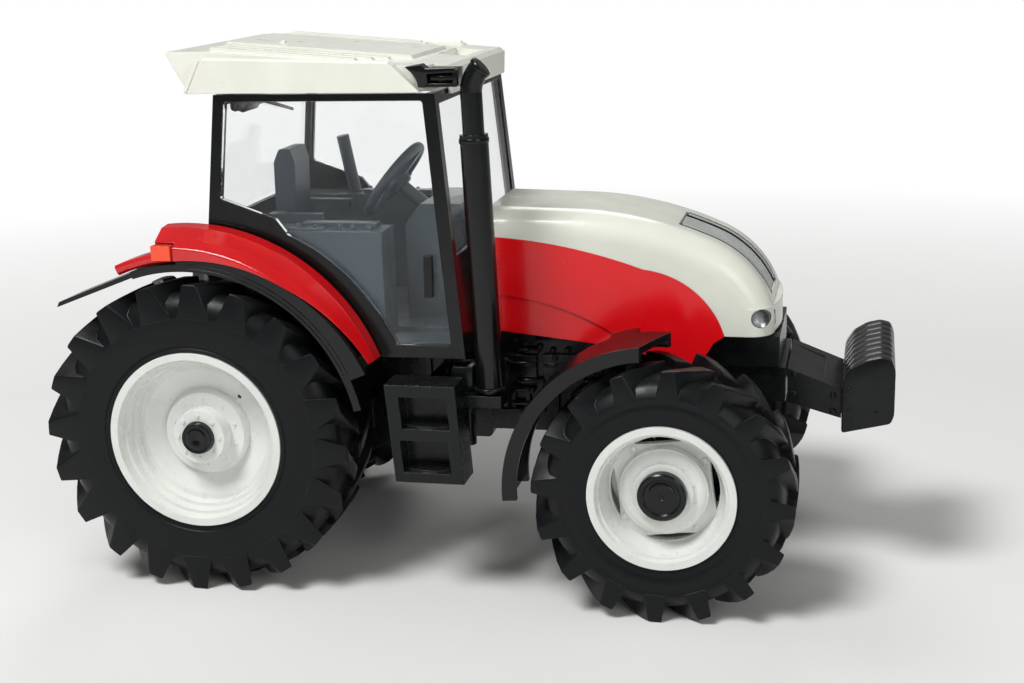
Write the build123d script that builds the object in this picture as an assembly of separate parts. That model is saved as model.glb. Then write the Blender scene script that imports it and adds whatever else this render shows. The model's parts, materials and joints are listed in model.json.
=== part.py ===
from build123d import *
import math
import os

# A farm tractor as a moulded 1:32 model, in millimetres.
# +X is forward, +Y is the tractor's left, +Z is up, and the wheels stand on z = 0.
# Pieces are drawn with x measured from the rear axle; save() moves them so that the
# origin lies on the ground under the middle of the whole model.

# ---- driving sizes -------------------------------------------------------------------
wheelbase = 80.4
rear_overhang = 32.0          # rear axle back to the ends of the lower links
front_overhang = 36.4         # front axle forward to the face of the weights
origin_x = (wheelbase + front_overhang - rear_overhang) / 2

running_fit = 0.06            # radial clearance of a pin or shaft that turns
seat_gap = 0.3                # gap between two seated mouldings
press_gap = 0.05              # radial clearance of a part pushed on inside one body

rear_tyre_r = 27.4            # to the tips of the lugs
rear_tyre_width = 14.6
rear_wheel_y = 26.3
rear_rim_r = 15.5
rear_axle_r = 2.8
rear_hub_r = 7.2

front_tyre_r = 21.4
front_tyre_width = 13.6
front_wheel_y = 28.4
front_rim_r = 12.15
rim_seat_depth = 0.9          # depth of the tyre's seat under the rim's flange
rim_lip = 0.8                 # thickness of the rim's flanges
tyre_fit = 0.1                # gap between the tyre's facets and its rim
spindle_r = 1.8
front_cap_r = 4.05
front_cap_seat = 4.4          # end of the front hub, out from the wheel's centre plane
rim_window_turn = -7          # degrees that the front rim's windows are turned by
shoulder_drop = 5.0           # tread's tips down to the foot of the tyre's shoulder

kingpin_y = 22.2
kingpin_r = 1.1
pivot_pin_r = 1.5
axle_ear_z = 6.3              # half height of the beam's forks
steering_arm = 7.4            # kingpin forward to the tie rod's pin
tie_pin_r = 0.8
tie_rod_r = 0.7

cab_half_width = 25.2         # at the sill
cab_lean = 1.3                # how far each side comes in from the sill to the roof
cab_wall = 1.6
cab_roof_z = 85.2
cab_sill_z = 41.0
cab_front_foot_x = 0.576 * wheelbase
cab_front_top_x = cab_front_foot_x - 3.9
cab_rear_foot_x = 1.6
cab_rear_top_x = 4.0
windscreen_low_z = 58.0
floor_z = 44.0                # top of the cab floor
steering_hub = Vector(cab_front_foot_x - 18.7, 0, 67.4)
column_slope = math.radians(38)
column_lean = Vector(math.cos(column_slope), 0, -math.sin(column_slope))
column_length = 7.2
glass_thickness = 0.8
glass_fit = 0.1               # gap round each pane
roof_half_width = cab_half_width - 0.3
roof_rise = 7.1               # cab's top rail up to the roof's top at its rear
roof_slope = 0.079            # fall of the roof's top towards the front

bonnet_half_width = 13.2
bonnet_wall = 1.5
bonnet_edge_r = 4.5           # rounding along the bonnet's upper edges
bonnet_rear_x = cab_front_foot_x + 1.3
bonnet_nose_x = wheelbase + 17.0
nose_low_z = 43.0
lower_nose_z = 47.8           # top of the proud lower part of the nose
grille_half_width = 6.4
grille_depth = 0.9            # depth of the recess that holds the grille
lamp_r = 1.6

casing_front_x = cab_front_foot_x + 0.3
casing_half_width = 8.5
engine_half_width = 9.6
rail_front_x = wheelbase + 18.2
weight_rear_x = wheelbase + 27.6
weight_half_width = 13.6
shelf_z = 35.0                # top of the side shelves
shelf_outer_y = 26.6
step_outer_y = 33.2
step_rear_x = 0.4266 * wheelbase
stack_x = cab_front_foot_x + 3.9
stack_y = cab_half_width - 1.2
stack_r = 2.35
stack_top_r = 1.8

tow_pin_x = -23.4
tow_pin_r = 1.4
tow_pin_top = 26.6
link_pivot = (-10.5, 22.0)    # x and z of the lift arms' shaft
link_y = 9.9                  # middle of each lift arm
link_shaft_r = 1.2

liner_r = rear_tyre_r + 2.0   # inside of the black liner, from the rear axle
liner_wall = 1.3
fender_r = liner_r + 6.2      # crown of the rear fender, from the centre of its arc
fender_shift = (-1.4, 0.9)    # rear axle to the centre of the fender's crown
fender_lip_r = fender_r - 3.3
fender_lip_shift = (1.9, -0.9)    # rear axle to the centre of the fender's lower edge
fender_inner_y = cab_half_width + seat_gap
fender_outer_y = 33.5
arch_r = liner_r + liner_wall + seat_gap
cab_waist_z = rear_tyre_r + fender_r - 0.6
side_box_front_x = arch_r + 0.9   # front of the boxes over the wheel arches in the cab
arm_rest_rear_x = side_box_front_x - 15.5

front_fender_r = front_tyre_r + 2.6   # inside of the front fender
front_fender_shift = (-1.5, -0.6)     # front axle to the centre of its arc
front_fender_wall = 1.2
front_fender_y = (22.4, 33.0)

rear_axle = (0, rear_tyre_r)
front_axle = (wheelbase, front_tyre_r)


# ---- drawing helpers -----------------------------------------------------------------
def block(xs, ys, zs):
    """Box between two x, two y and two z values."""
    size = Box(xs[1] - xs[0], ys[1] - ys[0], zs[1] - zs[0])
    return Pos((xs[0] + xs[1]) / 2, (ys[0] + ys[1]) / 2, (zs[0] + zs[1]) / 2) * size


def rod(start, end, radius):
    """Round bar from one point to another."""
    axis = Vector(*end) - Vector(*start)
    return extrude(Plane(start, z_dir=axis) * Circle(radius), axis.length)


def side_outline(points):
    """Face in the X-Z plane from corner points (x, z)."""
    return Plane.XZ * make_face(Polyline(*points, close=True))


def across(face, y_from, y_to):
    """Extrude an X-Z face from one y to another."""
    return extrude(Pos(0, y_from, 0) * face, y_to - y_from, dir=(0, 1, 0))


def plate(points, y_from, y_to):
    """Slab with the side outline (x, z), between two y values."""
    return across(side_outline(points), y_from, y_to)


def along(points, x_from, x_to):
    """Prism along X with the front outline (y, z)."""
    face = Plane.YZ * make_face(Polyline(*points, close=True))
    return extrude(Pos(x_from, 0, 0) * face, x_to - x_from)


def turned(points):
    """Solid of revolution about the Y axis from corners (radius, y)."""
    return revolve(make_face(Polyline(*points, close=True)), Axis.Y)


def swept_round(axle, points, angle_from, angle_to, soft=0):
    """Section (radius, y) turned about an axle between two angles, up and back from +X."""
    profile = make_face(Polyline(*points, close=True))
    if soft:
        profile = fillet(profile.vertices(), soft)
    start = Rot(0, -angle_from, 0) * profile
    return Pos(axle[0], 0, axle[1]) * revolve(start, Axis.Y, -(angle_to - angle_from))


def around(axle, radius, angle):
    """Point (x, z) at a radius and an angle about an axle, up and back from +X."""
    a = math.radians(angle)
    return axle[0] + radius * math.cos(a), axle[1] + radius * math.sin(a)


def wheel_place(axle, y):
    """Place of a left wheel's centre."""
    return Pos(axle[0], y, axle[1])


def right(piece):
    """The right-hand copy of a left-hand piece."""
    return mirror(piece, about=Plane.XZ)


def both(piece):
    """A left-hand piece with its right-hand copy."""
    return piece + right(piece)


nodes = {}


def add(name, piece):
    """Keep one finished sub-part under its node name."""
    nodes[name] = piece


def add_pair(name, piece):
    """Keep a left-hand sub-part and its right-hand copy."""
    add(name + "_left", piece)
    add(name + "_right", right(piece))


# ---- wheels --------------------------------------------------------------------------
def ring(sides, flat_r, y_from, y_to, end_r=None):
    """Prism with many flat sides about Y; flat_r is to the flats, end_r at the far end."""
    def outline(radius, y):
        corner_r = radius / math.cos(math.pi / sides)
        return Pos(0, y, 0) * (Plane.XZ * RegularPolygon(corner_r, sides))
    if end_r is None:
        return extrude(outline(flat_r, y_from), y_to - y_from, dir=(0, 1, 0))
    return loft([outline(flat_r, y_from), outline(end_r, y_to)], ruled=True)


def lug(radius, root_r, half, reach):
    """One tread lug on the left shoulder: a slanting bar that widens towards its foot."""
    lead, trail, thick, spread = reach
    top = math.sqrt(radius ** 2 - lead ** 2)

    def outline(z, more):
        corners = [(lead + more, 0.3), (trail + 1.5 * thick + more, half), (trail - more, half),
                   (lead - 1.2 * thick - more, 0.3)]
        return Pos(0, 0, z) * make_face(Polyline(*corners, close=True))
    return loft([outline(root_r, spread), outline(top, 0)], ruled=True)


def tyre(radius, width, rim_r, sides, lugs, lug_height, reach):
    """Tyre: flat-sided carcass with beads between the rim's flanges, and bent lugs."""
    half = width / 2
    shoulder_r = radius - shoulder_drop
    carcass_r = radius - lug_height
    shoulder_y = half - 1.5
    body = ring(sides, carcass_r, -shoulder_y, shoulder_y)
    body += both(ring(sides, carcass_r, shoulder_y, half, shoulder_r))
    body -= ring(sides, rim_r - rim_seat_depth + tyre_fit, -half, half)
    body -= both(ring(sides, rim_r + tyre_fit, half - rim_lip - tyre_fit, half))
    left_lug = lug(radius, shoulder_r - 0.4, half, reach)
    pitch = 360 / lugs
    tip = math.degrees(math.asin(reach[0] / radius))
    treads = [Rot(0, 180 - tip + pitch * n, 0) * left_lug for n in range(lugs)]
    treads += [Rot(0, 180 - tip + pitch * (n + 0.5), 0) * right(left_lug) for n in range(lugs)]
    return body.fuse(*treads)


def rear_rim():
    """Dished rear rim: stepped well, cone, boss and bore."""
    seat = rear_rim_r - rim_seat_depth
    half = rear_tyre_width / 2
    bore = rear_axle_r + running_fit
    drum = seat - 1.0
    outside = [(bore, -0.6), (rear_hub_r, -0.6), (11.0, 0.2), (drum, -1.6), (drum, -half),
               (rear_rim_r, -half), (rear_rim_r, -half + rim_lip), (seat, -half + rim_lip),
               (seat, half - rim_lip), (rear_rim_r, half - rim_lip), (rear_rim_r, half)]
    steps = [(14.2, half), (13.9, half - 1.6), (13.3, half - 1.6), (13.1, half - 3.2),
             (12.5, half - 3.2), (12.3, half - 4.8), (11.4, half - 4.8)]
    boss = [(rear_hub_r + 0.6, 1.2), (rear_hub_r, 2.6), (4.9, 2.6), (4.7, 5.4), (bore, 5.4)]
    return turned(outside + steps + boss)


def front_rim():
    """Front rim: flange, drum, and a disc with four windows round its hub."""
    seat = front_rim_r - rim_seat_depth
    half = front_tyre_width / 2
    bore = spindle_r + running_fit
    drum = seat - 0.8
    outside = [(bore, -3.0), (4.6, -3.0), (4.6, 0.0), (drum, 0.0), (drum, -half),
               (front_rim_r, -half), (front_rim_r, -half + rim_lip), (seat, -half + rim_lip),
               (seat, half - rim_lip), (front_rim_r, half - rim_lip), (front_rim_r, half)]
    dish = [(10.9, half), (10.7, half - 1.0), (10.3, half - 1.0), (10.1, half - 1.9), (9.2, 1.4),
            (7.5, 1.4), (7.3, 3.0), (5.0, 3.0), (5.0, front_cap_seat), (bore, front_cap_seat)]
    body = turned(outside + dish)
    ends = [(9.0 * math.cos(a), 9.0 * math.sin(a)) for a in (math.radians(-28), math.radians(28))]
    rim_side = ThreePointArc(ends[0], (9.0, 0), ends[1])
    hub_side = ThreePointArc(ends[1], (7.8, 0), ends[0])
    window = extrude(Plane.XZ * make_face(rim_side + hub_side), 4, both=True)
    for turn in range(rim_window_turn, rim_window_turn + 360, 90):
        body -= Rot(0, turn, 0) * window
    return body


def front_cap():
    """Black cap over the end of the spindle."""
    face_y = front_tyre_width / 2 - 0.7
    return turned([(0, front_cap_seat), (front_cap_r, front_cap_seat),
                   (front_cap_r, face_y - 0.3), (front_cap_r - 0.3, face_y), (0, face_y)])


def wheels():
    """The four wheels."""
    rear = wheel_place(rear_axle, rear_wheel_y)
    front = wheel_place(front_axle, front_wheel_y)
    # carcass sides, lugs on each shoulder, lug height, and a lug's reach round the tread:
    # front of its centre end, back of its shoulder end, thickness, widening to its foot
    rear_tyre = tyre(rear_tyre_r, rear_tyre_width, rear_rim_r, 30, 20, 1.9, (4.5, -4.3, 2.2, 1.6))
    front_tyre = tyre(front_tyre_r, front_tyre_width, front_rim_r, 24, 16, 1.7, (4.3, -4.1, 2.1, 1.5))
    add_pair("rear_tyre", rear * rear_tyre)
    add_pair("rear_rim", rear * rear_rim())
    add_pair("front_tyre", front * front_tyre)
    add_pair("front_rim", front * front_rim())
    add_pair("front_hub_cap", front * front_cap())


# ---- axles and steering --------------------------------------------------------------
def rear_axle_shaft():
    """Shaft through the housing that carries both rear wheels."""
    end_y = rear_wheel_y + 6.4
    shaft = rod((0, -end_y, rear_tyre_r), (0, end_y, rear_tyre_r), rear_axle_r)
    return chamfer(shaft.edges().filter_by(GeomType.CIRCLE), 0.4)


def rear_housing():
    """Rear axle and gearbox casing with its ribs and its two axle tubes."""
    half = casing_half_width
    tube_end = rear_wheel_y - 0.6 - seat_gap
    casing = plate([(-13, 20), (-10, 17.5), (22, 17.5), (30, 22), (casing_front_x, 22),
                    (casing_front_x, 38.5), (30, 40), (6, 40), (-8, 37), (-13, 32)], -half, half)
    casing = fillet(casing.edges().filter_by(Axis.Y), 1.0)
    for rib_x in (12.0, 17.5, 23.0, 29.0, 34.5):
        casing += block((rib_x, rib_x + 1.2), (-half - 0.7, half + 0.7), (23, 37.5))
    z = rear_tyre_r
    flange = rod((0, 0, z), (0, half + 2, z), 8.0)
    tube = rod((0, 0, z), (0, tube_end, z), 5.0)
    collar = rod((0, tube_end - 2.0, z), (0, tube_end, z), 6.4)
    casing += both(flange + tube + collar)
    x, link_z = link_pivot
    casing -= rod((x, -12, link_z), (x, 12, link_z), link_shaft_r + running_fit)
    return casing - rod((0, -40, z), (0, 40, z), rear_axle_r + press_gap)


ear_thickness = 1.8
ear_inner = 3.4               # axle centre plane to the near face of each ear


def front_support():
    """Front casting: two rails, a bridge and the ears that hold the axle's pivot pin."""
    x, z = front_axle
    outer = ear_inner + ear_thickness
    rail = plate([(x - 10, 31), (x + 18.2, 31), (rail_front_x, 37), (x - 10, 37)], 6.5, 10)
    bridge = block((x - 7.5, x + 7.5), (-6.5, 6.5), (31, 34))
    ear = along([(-4.2, 31), (-2.9, z - 3.2), (2.9, z - 3.2), (4.2, 31)], x + ear_inner, x + outer)
    rear_ear = along([(-4.2, 31), (-2.9, z - 3.2), (2.9, z - 3.2), (4.2, 31)], x - outer, x - ear_inner)
    nose = block((rail_front_x - 3, rail_front_x), (-6.5, 6.5), (31, 37))
    body = both(rail) + bridge + ear + rear_ear + nose
    return body - rod((x - 8, 0, z), (x + 8, 0, z), pivot_pin_r + press_gap)


def pivot_pin():
    """Pin along X that the front axle swings on."""
    x, z = front_axle
    reach = ear_inner + ear_thickness
    return rod((x - reach, 0, z), (x + reach, 0, z), pivot_pin_r)


def axle_beam():
    """Front axle beam with a centre boss and a fork at each end."""
    x, z = front_axle
    half = ear_inner - seat_gap
    boss = rod((x - half, 0, z), (x + half, 0, z), 4.0)
    arm = block((x - 2.4, x + 2.4), (0, 19), (z - 2.2, z + 2.6))
    web = block((x - 2.6, x + 2.6), (17, 19), (z - axle_ear_z, z + axle_ear_z))
    ear = extrude(Pos(x, kingpin_y, 0) * Circle(2.6), axle_ear_z - 4.4)
    ear += block((x - 2.6, x + 2.6), (17, kingpin_y), (0, axle_ear_z - 4.4))
    ears = Pos(0, 0, z + 4.4) * ear + Pos(0, 0, z - axle_ear_z) * ear
    hole = rod((x, kingpin_y, z - 8), (x, kingpin_y, z + 8), kingpin_r + press_gap)
    beam = boss + both(arm + web + ears - hole)
    return beam - rod((x - 8, 0, z), (x + 8, 0, z), pivot_pin_r + running_fit)


def kingpin():
    """Upright pin that a knuckle turns on."""
    x, z = front_axle
    return rod((x, kingpin_y, z - axle_ear_z - 0.2), (x, kingpin_y, z + axle_ear_z + 0.2), kingpin_r)


def knuckle():
    """Steering knuckle: block, spindle, forward arm with its pin, rearward lug."""
    x, z = front_axle
    y = kingpin_y
    body = block((x - 2.3, x + 2.3), (y - 1.7, y + 2.2), (z - 4.0, z + 4.0))
    spindle_end = front_wheel_y + front_cap_seat - 0.4
    spindle = rod((x, y + 1.2, z), (x, spindle_end, z), spindle_r)
    collar = rod((x, y + 2, z), (x, front_wheel_y - 3.3, z), 3.2)
    pin_x = x + steering_arm
    arm = block((x + 2, pin_x), (y - 1.1, y + 1.1), (z - 1.2, z + 1.2))
    eye = rod((pin_x, y, z - 1.2), (pin_x, y, z + 1.2), 1.3)
    pin = rod((pin_x, y, z - 3.4), (pin_x, y, z), tie_pin_r)
    lug_side = [(x - 2.0, y + 0.2), (x - 4.5, y - 0.2), (x - 9.0, y - 1.0), (x - 9.0, y - 3.2),
                (x - 7.5, y - 3.2), (x - 4.2, y - 1.6), (x - 2.0, y - 1.4)]
    lug_plate = extrude(Pos(0, 0, z - 1.5) * make_face(Polyline(*lug_side, close=True)), 3.0)
    body += collar + spindle + arm + eye + pin + lug_plate
    return body - rod((x, y, z - 8), (x, y, z + 8), kingpin_r + running_fit)


def tie_rod():
    """Rod that joins the two steering arms, with an eye at each end."""
    x = front_axle[0] + steering_arm
    top = front_axle[1] - 1.2 - seat_gap
    low = top - 1.6
    z = (top + low) / 2
    eye = rod((x, kingpin_y, low), (x, kingpin_y, top), 1.5)
    bar = rod((x, 0, z), (x, kingpin_y - 1.0, z), tie_rod_r)
    hole = rod((x, kingpin_y, low - 1), (x, kingpin_y, top + 1), tie_pin_r + running_fit)
    return both(bar + eye - hole)


def front_fender():
    """Front mudguard with a skirt on each side, on a strut from the knuckle's lug."""
    x, z = front_axle
    centre = (x + front_fender_shift[0], z + front_fender_shift[1])
    inner, outer = front_fender_y
    low, top = front_fender_r, front_fender_r + front_fender_wall
    lip = low - 1.2
    section = [(low, inner + 1.0), (lip, inner + 1.0), (lip, inner), (top, inner),
               (top, outer), (lip, outer), (lip, outer - 1.0), (low, outer - 1.0)]
    shell = swept_round(centre, section, 84, 184)
    # plan of what is cut off ahead of the slanting front edge
    ahead = [(x - 4.4, outer + 2), (x + 0.9, inner - 2), (x + 20, inner - 2), (x + 20, outer + 2)]
    shell -= Pos(0, 0, z) * extrude(make_face(Polyline(*ahead, close=True)), 40)
    strut_y = (kingpin_y - 3.2, kingpin_y - 1.4)
    strut = block((x - 9.0, x - 5.7), strut_y, (z + 1.5, z + low * 0.962))
    tab = swept_round(centre, [(low, strut_y[0]), (low, inner + 0.5),
                               (top, inner + 0.5), (top, strut_y[0])], 99, 110)
    return shell + tab + strut


def axles():
    """Rear axle, front support, front axle and its steering."""
    add("rear_housing", rear_housing())
    add("rear_axle_shaft", rear_axle_shaft())
    add("front_support", front_support())
    add("front_axle_pivot_pin", pivot_pin())
    add("front_axle_beam", axle_beam())
    add("kingpins", both(kingpin()))
    add_pair("knuckle", knuckle())
    add("tie_rod", tie_rod())
    add_pair("front_fender", front_fender())


# ---- chassis and hitch ---------------------------------------------------------------
def engine():
    """Engine as one plain block, with ribs and covers on the sides that show."""
    front = wheelbase - 10.3
    lower = block((casing_front_x, front), (-engine_half_width, engine_half_width), (24, 43))
    upper = block((bonnet_rear_x + 1.4, wheelbase + 3.6), (-9, 9), (37, 54))
    side = block((0, 0.8), (0, engine_half_width + 0.9), (27.5, 31.5))
    for n in range(6):
        lower += both(Pos(casing_front_x + 4 + 2.6 * n, 0, 0) * side)
    # x from the casing's front, z, half length and half height of each cover
    for x, z, half_x, half_z in ((5.5, 36.0, 3.2, 2.0), (13.6, 35.6, 3.6, 2.6), (20.0, 38.0, 1.6, 3.4)):
        cover = block((x - half_x, x + half_x), (0, engine_half_width + 1.0), (z - half_z, z + half_z))
        lower += both(Pos(casing_front_x, 0, 0) * cover)
    return lower + upper


def radiator_box():
    """Black box under the nose, behind the carrier for the front weights."""
    return block((wheelbase + 5.2, bonnet_nose_x + 0.2), (-11, 11), (37 + seat_gap, nose_low_z - seat_gap))


def weight_carrier():
    """Two arms, a deck and a bridge that hold the front weights ahead of the rails."""
    x = rail_front_x + seat_gap
    face = weight_rear_x
    arm = plate([(x, 31), (face, 28.4), (face, 33.4), (x, 37)], 7, 10)
    bridge = plate([(face - 3, 29.4), (face, 28.4), (face, 33.4), (face - 3, 34.6)], -7, 7)
    deck = plate([(x, 36), (face - 3, 33.6), (face - 3, 34.4), (x, 37)], -7, 7)
    return both(arm) + bridge + deck


def front_weights():
    """Row of slab weights, parted by grooves."""
    rear, face = weight_rear_x, wheelbase + front_overhang
    half = weight_half_width
    side = side_outline([(rear, 26.8), (face - 0.6, 28.8), (face, 30), (face, 38.6),
                         (face - 2.4, 40.2), (rear + 1.6, 37.9), (rear, 35)])
    side = fillet(side.vertices(), 0.5)
    body = across(side, -half, half)
    surround = block((rear + 0.4, face + 1), (-0.15, 0.15), (26, 41)) - across(offset(side, -0.7), -1, 1)
    slabs = 8
    for n in range(1, slabs):
        body -= Pos(0, -half + 2 * half * n / slabs, 0) * surround
    return body


def side_shelf():
    """Bracket from the gearbox that carries the steps and the foot of the stack."""
    rear = casing_front_x - 9.6
    low = shelf_z - 2
    inner = block((rear, casing_front_x - seat_gap), (casing_half_width, 12), (low, shelf_z))
    outer_from = engine_half_width + 1.0 + seat_gap
    return inner + block((rear, stack_x + stack_r), (outer_from, shelf_outer_y), (low, shelf_z))


def steps():
    """Moulded step box with two blind pockets over curved treads."""
    front = cab_front_foot_x
    rear = step_rear_x
    body = plate([(rear, 38.4), (front, 38.4), (front + 1.1, 21.6), (rear + 1.3, 21.6)],
                 shelf_outer_y + seat_gap, step_outer_y)
    # top and foot of each pocket
    for high, low in ((36.4, 30.9), (28.9, 23.3)):
        pocket = plate([(rear + 2.3, high), (front - 1.5, high), (front - 1.0, low), (rear + 2.8, low)],
                       shelf_outer_y + 2.8, step_outer_y + 1)
        tread = rod(((rear + front) / 2 + 0.9, step_outer_y - 9.5, low - 1),
                    ((rear + front) / 2 + 0.9, step_outer_y - 9.5, low + 0.4), 9.2)
        body -= pocket - tread
    return body


def exhaust():
    """Upright stack with a narrower upper pipe that bends forward at its mouth."""
    y = -stack_y
    top_x = stack_x - 1.4
    lower = rod((stack_x, y, shelf_z + seat_gap), (top_x, y, 78.6), stack_r)
    path = Line((top_x, y, 78.0), (top_x - 0.2, y, 85.4))
    path += ThreePointArc((top_x - 0.2, y, 85.4), (top_x + 0.3, y, 87.6), (top_x + 1.7, y, 89.5))
    section = Plane((top_x, y, 78.0), z_dir=path % 0) * Circle(stack_top_r)
    upper = sweep(section, path, transition=Transition.ROUND)
    return lower + upper


def exhaust_bracket():
    """Corner piece from the right front of the roof to the stack, with a lamp's pocket."""
    rear = cab_front_top_x - 1.6
    front = cab_front_foot_x + 0.2
    low, out = cab_roof_z + 1.1, roof_half_width + 0.5
    body = plate([(rear, low), (front, low), (front, low + 3.1), (rear, low + 3.9)], -out, 5 - out)
    return body - block((rear + 1.8, front - 0.8), (-out - 1, 0.8 - out), (low + 0.6, low + 2.7))


def tow_coupling():
    """Drawbar at the rear with an upright peg on its flat end."""
    bar = plate([(-13, 20), (-13, 25), (-18, 25), (-18.6, 22), (-29, 22), (-29, 19.5), (-18, 19.5)], -4, 4)
    peg = rod((tow_pin_x, 0, 20), (tow_pin_x, 0, tow_pin_top), tow_pin_r)
    return bar + chamfer(peg.edges().sort_by(Axis.Z)[-1], 0.3)


def lower_links():
    """Pair of lift arms on one cross shaft."""
    x, z = link_pivot
    tip = -rear_overhang
    shaft = rod((x, -link_y, z), (x, link_y, z), link_shaft_r)
    eye = rod((x, link_y - 1.0, z), (x, link_y + 1.0, z), 2.4)
    arm = plate([(x, z + 2.0), (tip + 4, z - 4.6), (tip + 0.6, z - 5.0), (tip, z - 6.6),
                 (tip + 2, z - 8.4), (x - 1.5, z - 2.0)], link_y - 1.0, link_y + 1.0)
    return shaft + both(eye + arm)


def chassis():
    """Engine, front end, steps, stack and rear hitch."""
    add("engine", engine())
    add("radiator_box", radiator_box())
    add("weight_carrier", weight_carrier())
    add("front_weights", front_weights())
    add_pair("side_shelf", side_shelf())
    add_pair("steps", steps())
    add("exhaust", exhaust())
    add("exhaust_bracket", exhaust_bracket())
    add("tow_coupling", tow_coupling())
    add("lower_links", lower_links())


# ---- cab -----------------------------------------------------------------------------
def cab_front_x(z):
    """X of the cab's front face at a height."""
    run = (z - cab_sill_z) / (cab_roof_z - cab_sill_z)
    return cab_front_foot_x + run * (cab_front_top_x - cab_front_foot_x)


def cab_rear_x(z):
    """X of the cab's rear face at a height above the waist."""
    run = (z - cab_waist_z) / (cab_roof_z - cab_waist_z)
    return cab_rear_foot_x + run * (cab_rear_top_x - cab_rear_foot_x)


def cab_side_y(z):
    """Half width of the leaning cab at a height."""
    return cab_half_width - cab_lean * (z - cab_sill_z) / (cab_roof_z - cab_sill_z)


def cab_outline(inset, low, high):
    """Side outline of the cab, drawn in from its faces by an inset."""
    return side_outline([
        (cab_front_x(low) - inset, low), (cab_front_x(high) - inset, high),
        (cab_rear_x(high) + inset, high), (cab_rear_foot_x + inset, cab_waist_z),
        (cab_rear_foot_x + inset, low)])


def cab_prism(inset, low, high):
    """Leaning prism of the cab between two heights, drawn in by an inset."""
    foot, head = cab_side_y(low) - inset, cab_side_y(high) - inset
    front_view = along([(-foot, low), (foot, low), (head, high), (-head, high)], -20, 80)
    return front_view & across(cab_outline(inset, low, high), -40, 40)


def side_layer(face, depth, thickness):
    """Part of a side outline's prism in a layer along the leaning left wall."""
    low, high = cab_sill_z - 5, cab_roof_z + 5
    ys = [cab_side_y(low) - depth, cab_side_y(high) - depth]
    layer = along([(ys[0], low), (ys[1], high), (ys[1] - thickness, high),
                   (ys[0] - thickness, low)], -20, 80)
    return layer & across(face, 0, 40)


def arch(radius, y_from, y_to):
    """Round bar along Y about the rear axle."""
    return rod((0, y_from, rear_tyre_r), (0, y_to, rear_tyre_r), radius)


def side_window(inset):
    """Outline of the side opening with its rear gusset, drawn in by an inset."""
    low, high = cab_sill_z + 2.2, cab_roof_z - 1.1
    rear_low = cab_rear_x(cab_waist_z + 5.3) + 1.8
    face = side_outline([
        (cab_front_x(low) - 2.2, low), (cab_front_x(high) - 2.2, high), (cab_rear_x(high) + 1.8, high),
        (rear_low, cab_waist_z + 5.3), (rear_low + 9.8, cab_waist_z + 1.9),
        (rear_low + 11.6, cab_waist_z - 0.4), (rear_low + 12.5, low)])
    face = fillet(face.vertices(), 0.6)
    face -= Plane.XZ * Pos(0, rear_tyre_r) * Circle(fender_r + 2.1)
    return offset(face, -inset) if inset else face


def front_window_span(inset):
    """Half widths at foot and head, and z limits, of the windscreen opening."""
    low, high = windscreen_low_z + inset, cab_roof_z - 1.8 - inset
    return cab_side_y(low) - 2.2 - inset, cab_side_y(high) - 2.2 - inset, low, high


def rear_window_span(inset):
    """Half widths at foot and head, and z limits, of the rear opening."""
    low, high = cab_waist_z + 1.4 + inset, cab_roof_z - 1.8 - inset
    return cab_side_y(low) - 2.6 - inset, cab_side_y(high) - 2.6 - inset, low, high


def window_prism(span, x_from, x_to):
    """Prism along X through an end window."""
    foot, head, low, high = span
    return along([(-foot, low), (foot, low), (head, high), (-head, high)], x_from, x_to)


def cab_frame():
    """Black frame of posts, rails and lower walls, with all four openings cut."""
    w = cab_half_width + 1
    middle = (cab_rear_foot_x + cab_front_foot_x) / 2
    shell = cab_prism(0, cab_sill_z, cab_roof_z) - cab_prism(cab_wall, cab_sill_z - 1, cab_roof_z + 1)
    shell -= arch(arch_r, -w, w)
    shell -= both(across(side_window(0), cab_half_width - cab_lean - cab_wall - 1, w))
    shell -= window_prism(front_window_span(0), middle, middle + 40)
    return shell - window_prism(rear_window_span(0), middle - 40, middle)


def side_glass():
    """Pane that fills the left side opening."""
    return side_layer(side_window(glass_fit), 0.2, glass_thickness)


def leaning_pane(face_x, span, step):
    """Pane in a leaning end wall: its outer face lies a step inside the wall's face."""
    low, high = span[2], span[3]
    depth = step + math.copysign(glass_thickness, step)
    slab = plate([(face_x(low) + step, low), (face_x(high) + step, high),
                  (face_x(high) + depth, high), (face_x(low) + depth, low)], -40, 40)
    return slab & window_prism(span, -20, 80)


def cab_interior():
    """One moulding: floor, boxes over the wheel arches, and a dashboard."""
    inner = cab_side_y(cab_waist_z) - cab_wall - seat_gap
    rear_x = cab_rear_foot_x + cab_wall + seat_gap
    front_x = cab_front_x(floor_z) - cab_wall - seat_gap
    box_top = cab_waist_z - 0.4
    floor = block((rear_x, front_x - 0.2), (-15.6, 15.6), (floor_z - 2, floor_z))
    floor += block((side_box_front_x, front_x - 0.2), (-inner, inner), (floor_z - 2, floor_z - 1))
    floor += block((8, 28), (-8, 8), (floor_z - 4 + seat_gap, floor_z - 2))
    side = block((rear_x, side_box_front_x), (15.6, inner), (floor_z - 2, box_top))
    side += block((arm_rest_rear_x, side_box_front_x - 2), (16.4, 18.6), (box_top, box_top + 0.8))
    side -= arch(arch_r, 16.8, 40)
    foot = column_point(column_length + seat_gap)
    slope = Vector(column_lean.Z, 0, -column_lean.X)
    low, high = foot + slope * 2.4, foot - slope * 2.2
    dash = plate([(low.X, floor_z), (low.X, low.Z), (high.X, high.Z), (front_x - 2.4, high.Z),
                  (front_x - 0.4, floor_z)], -9, 9)
    return floor + both(side) + dash


def column_point(distance):
    """Point on the steering column's axis, measured from the wheel's centre."""
    return steering_hub + column_lean * distance


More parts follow.
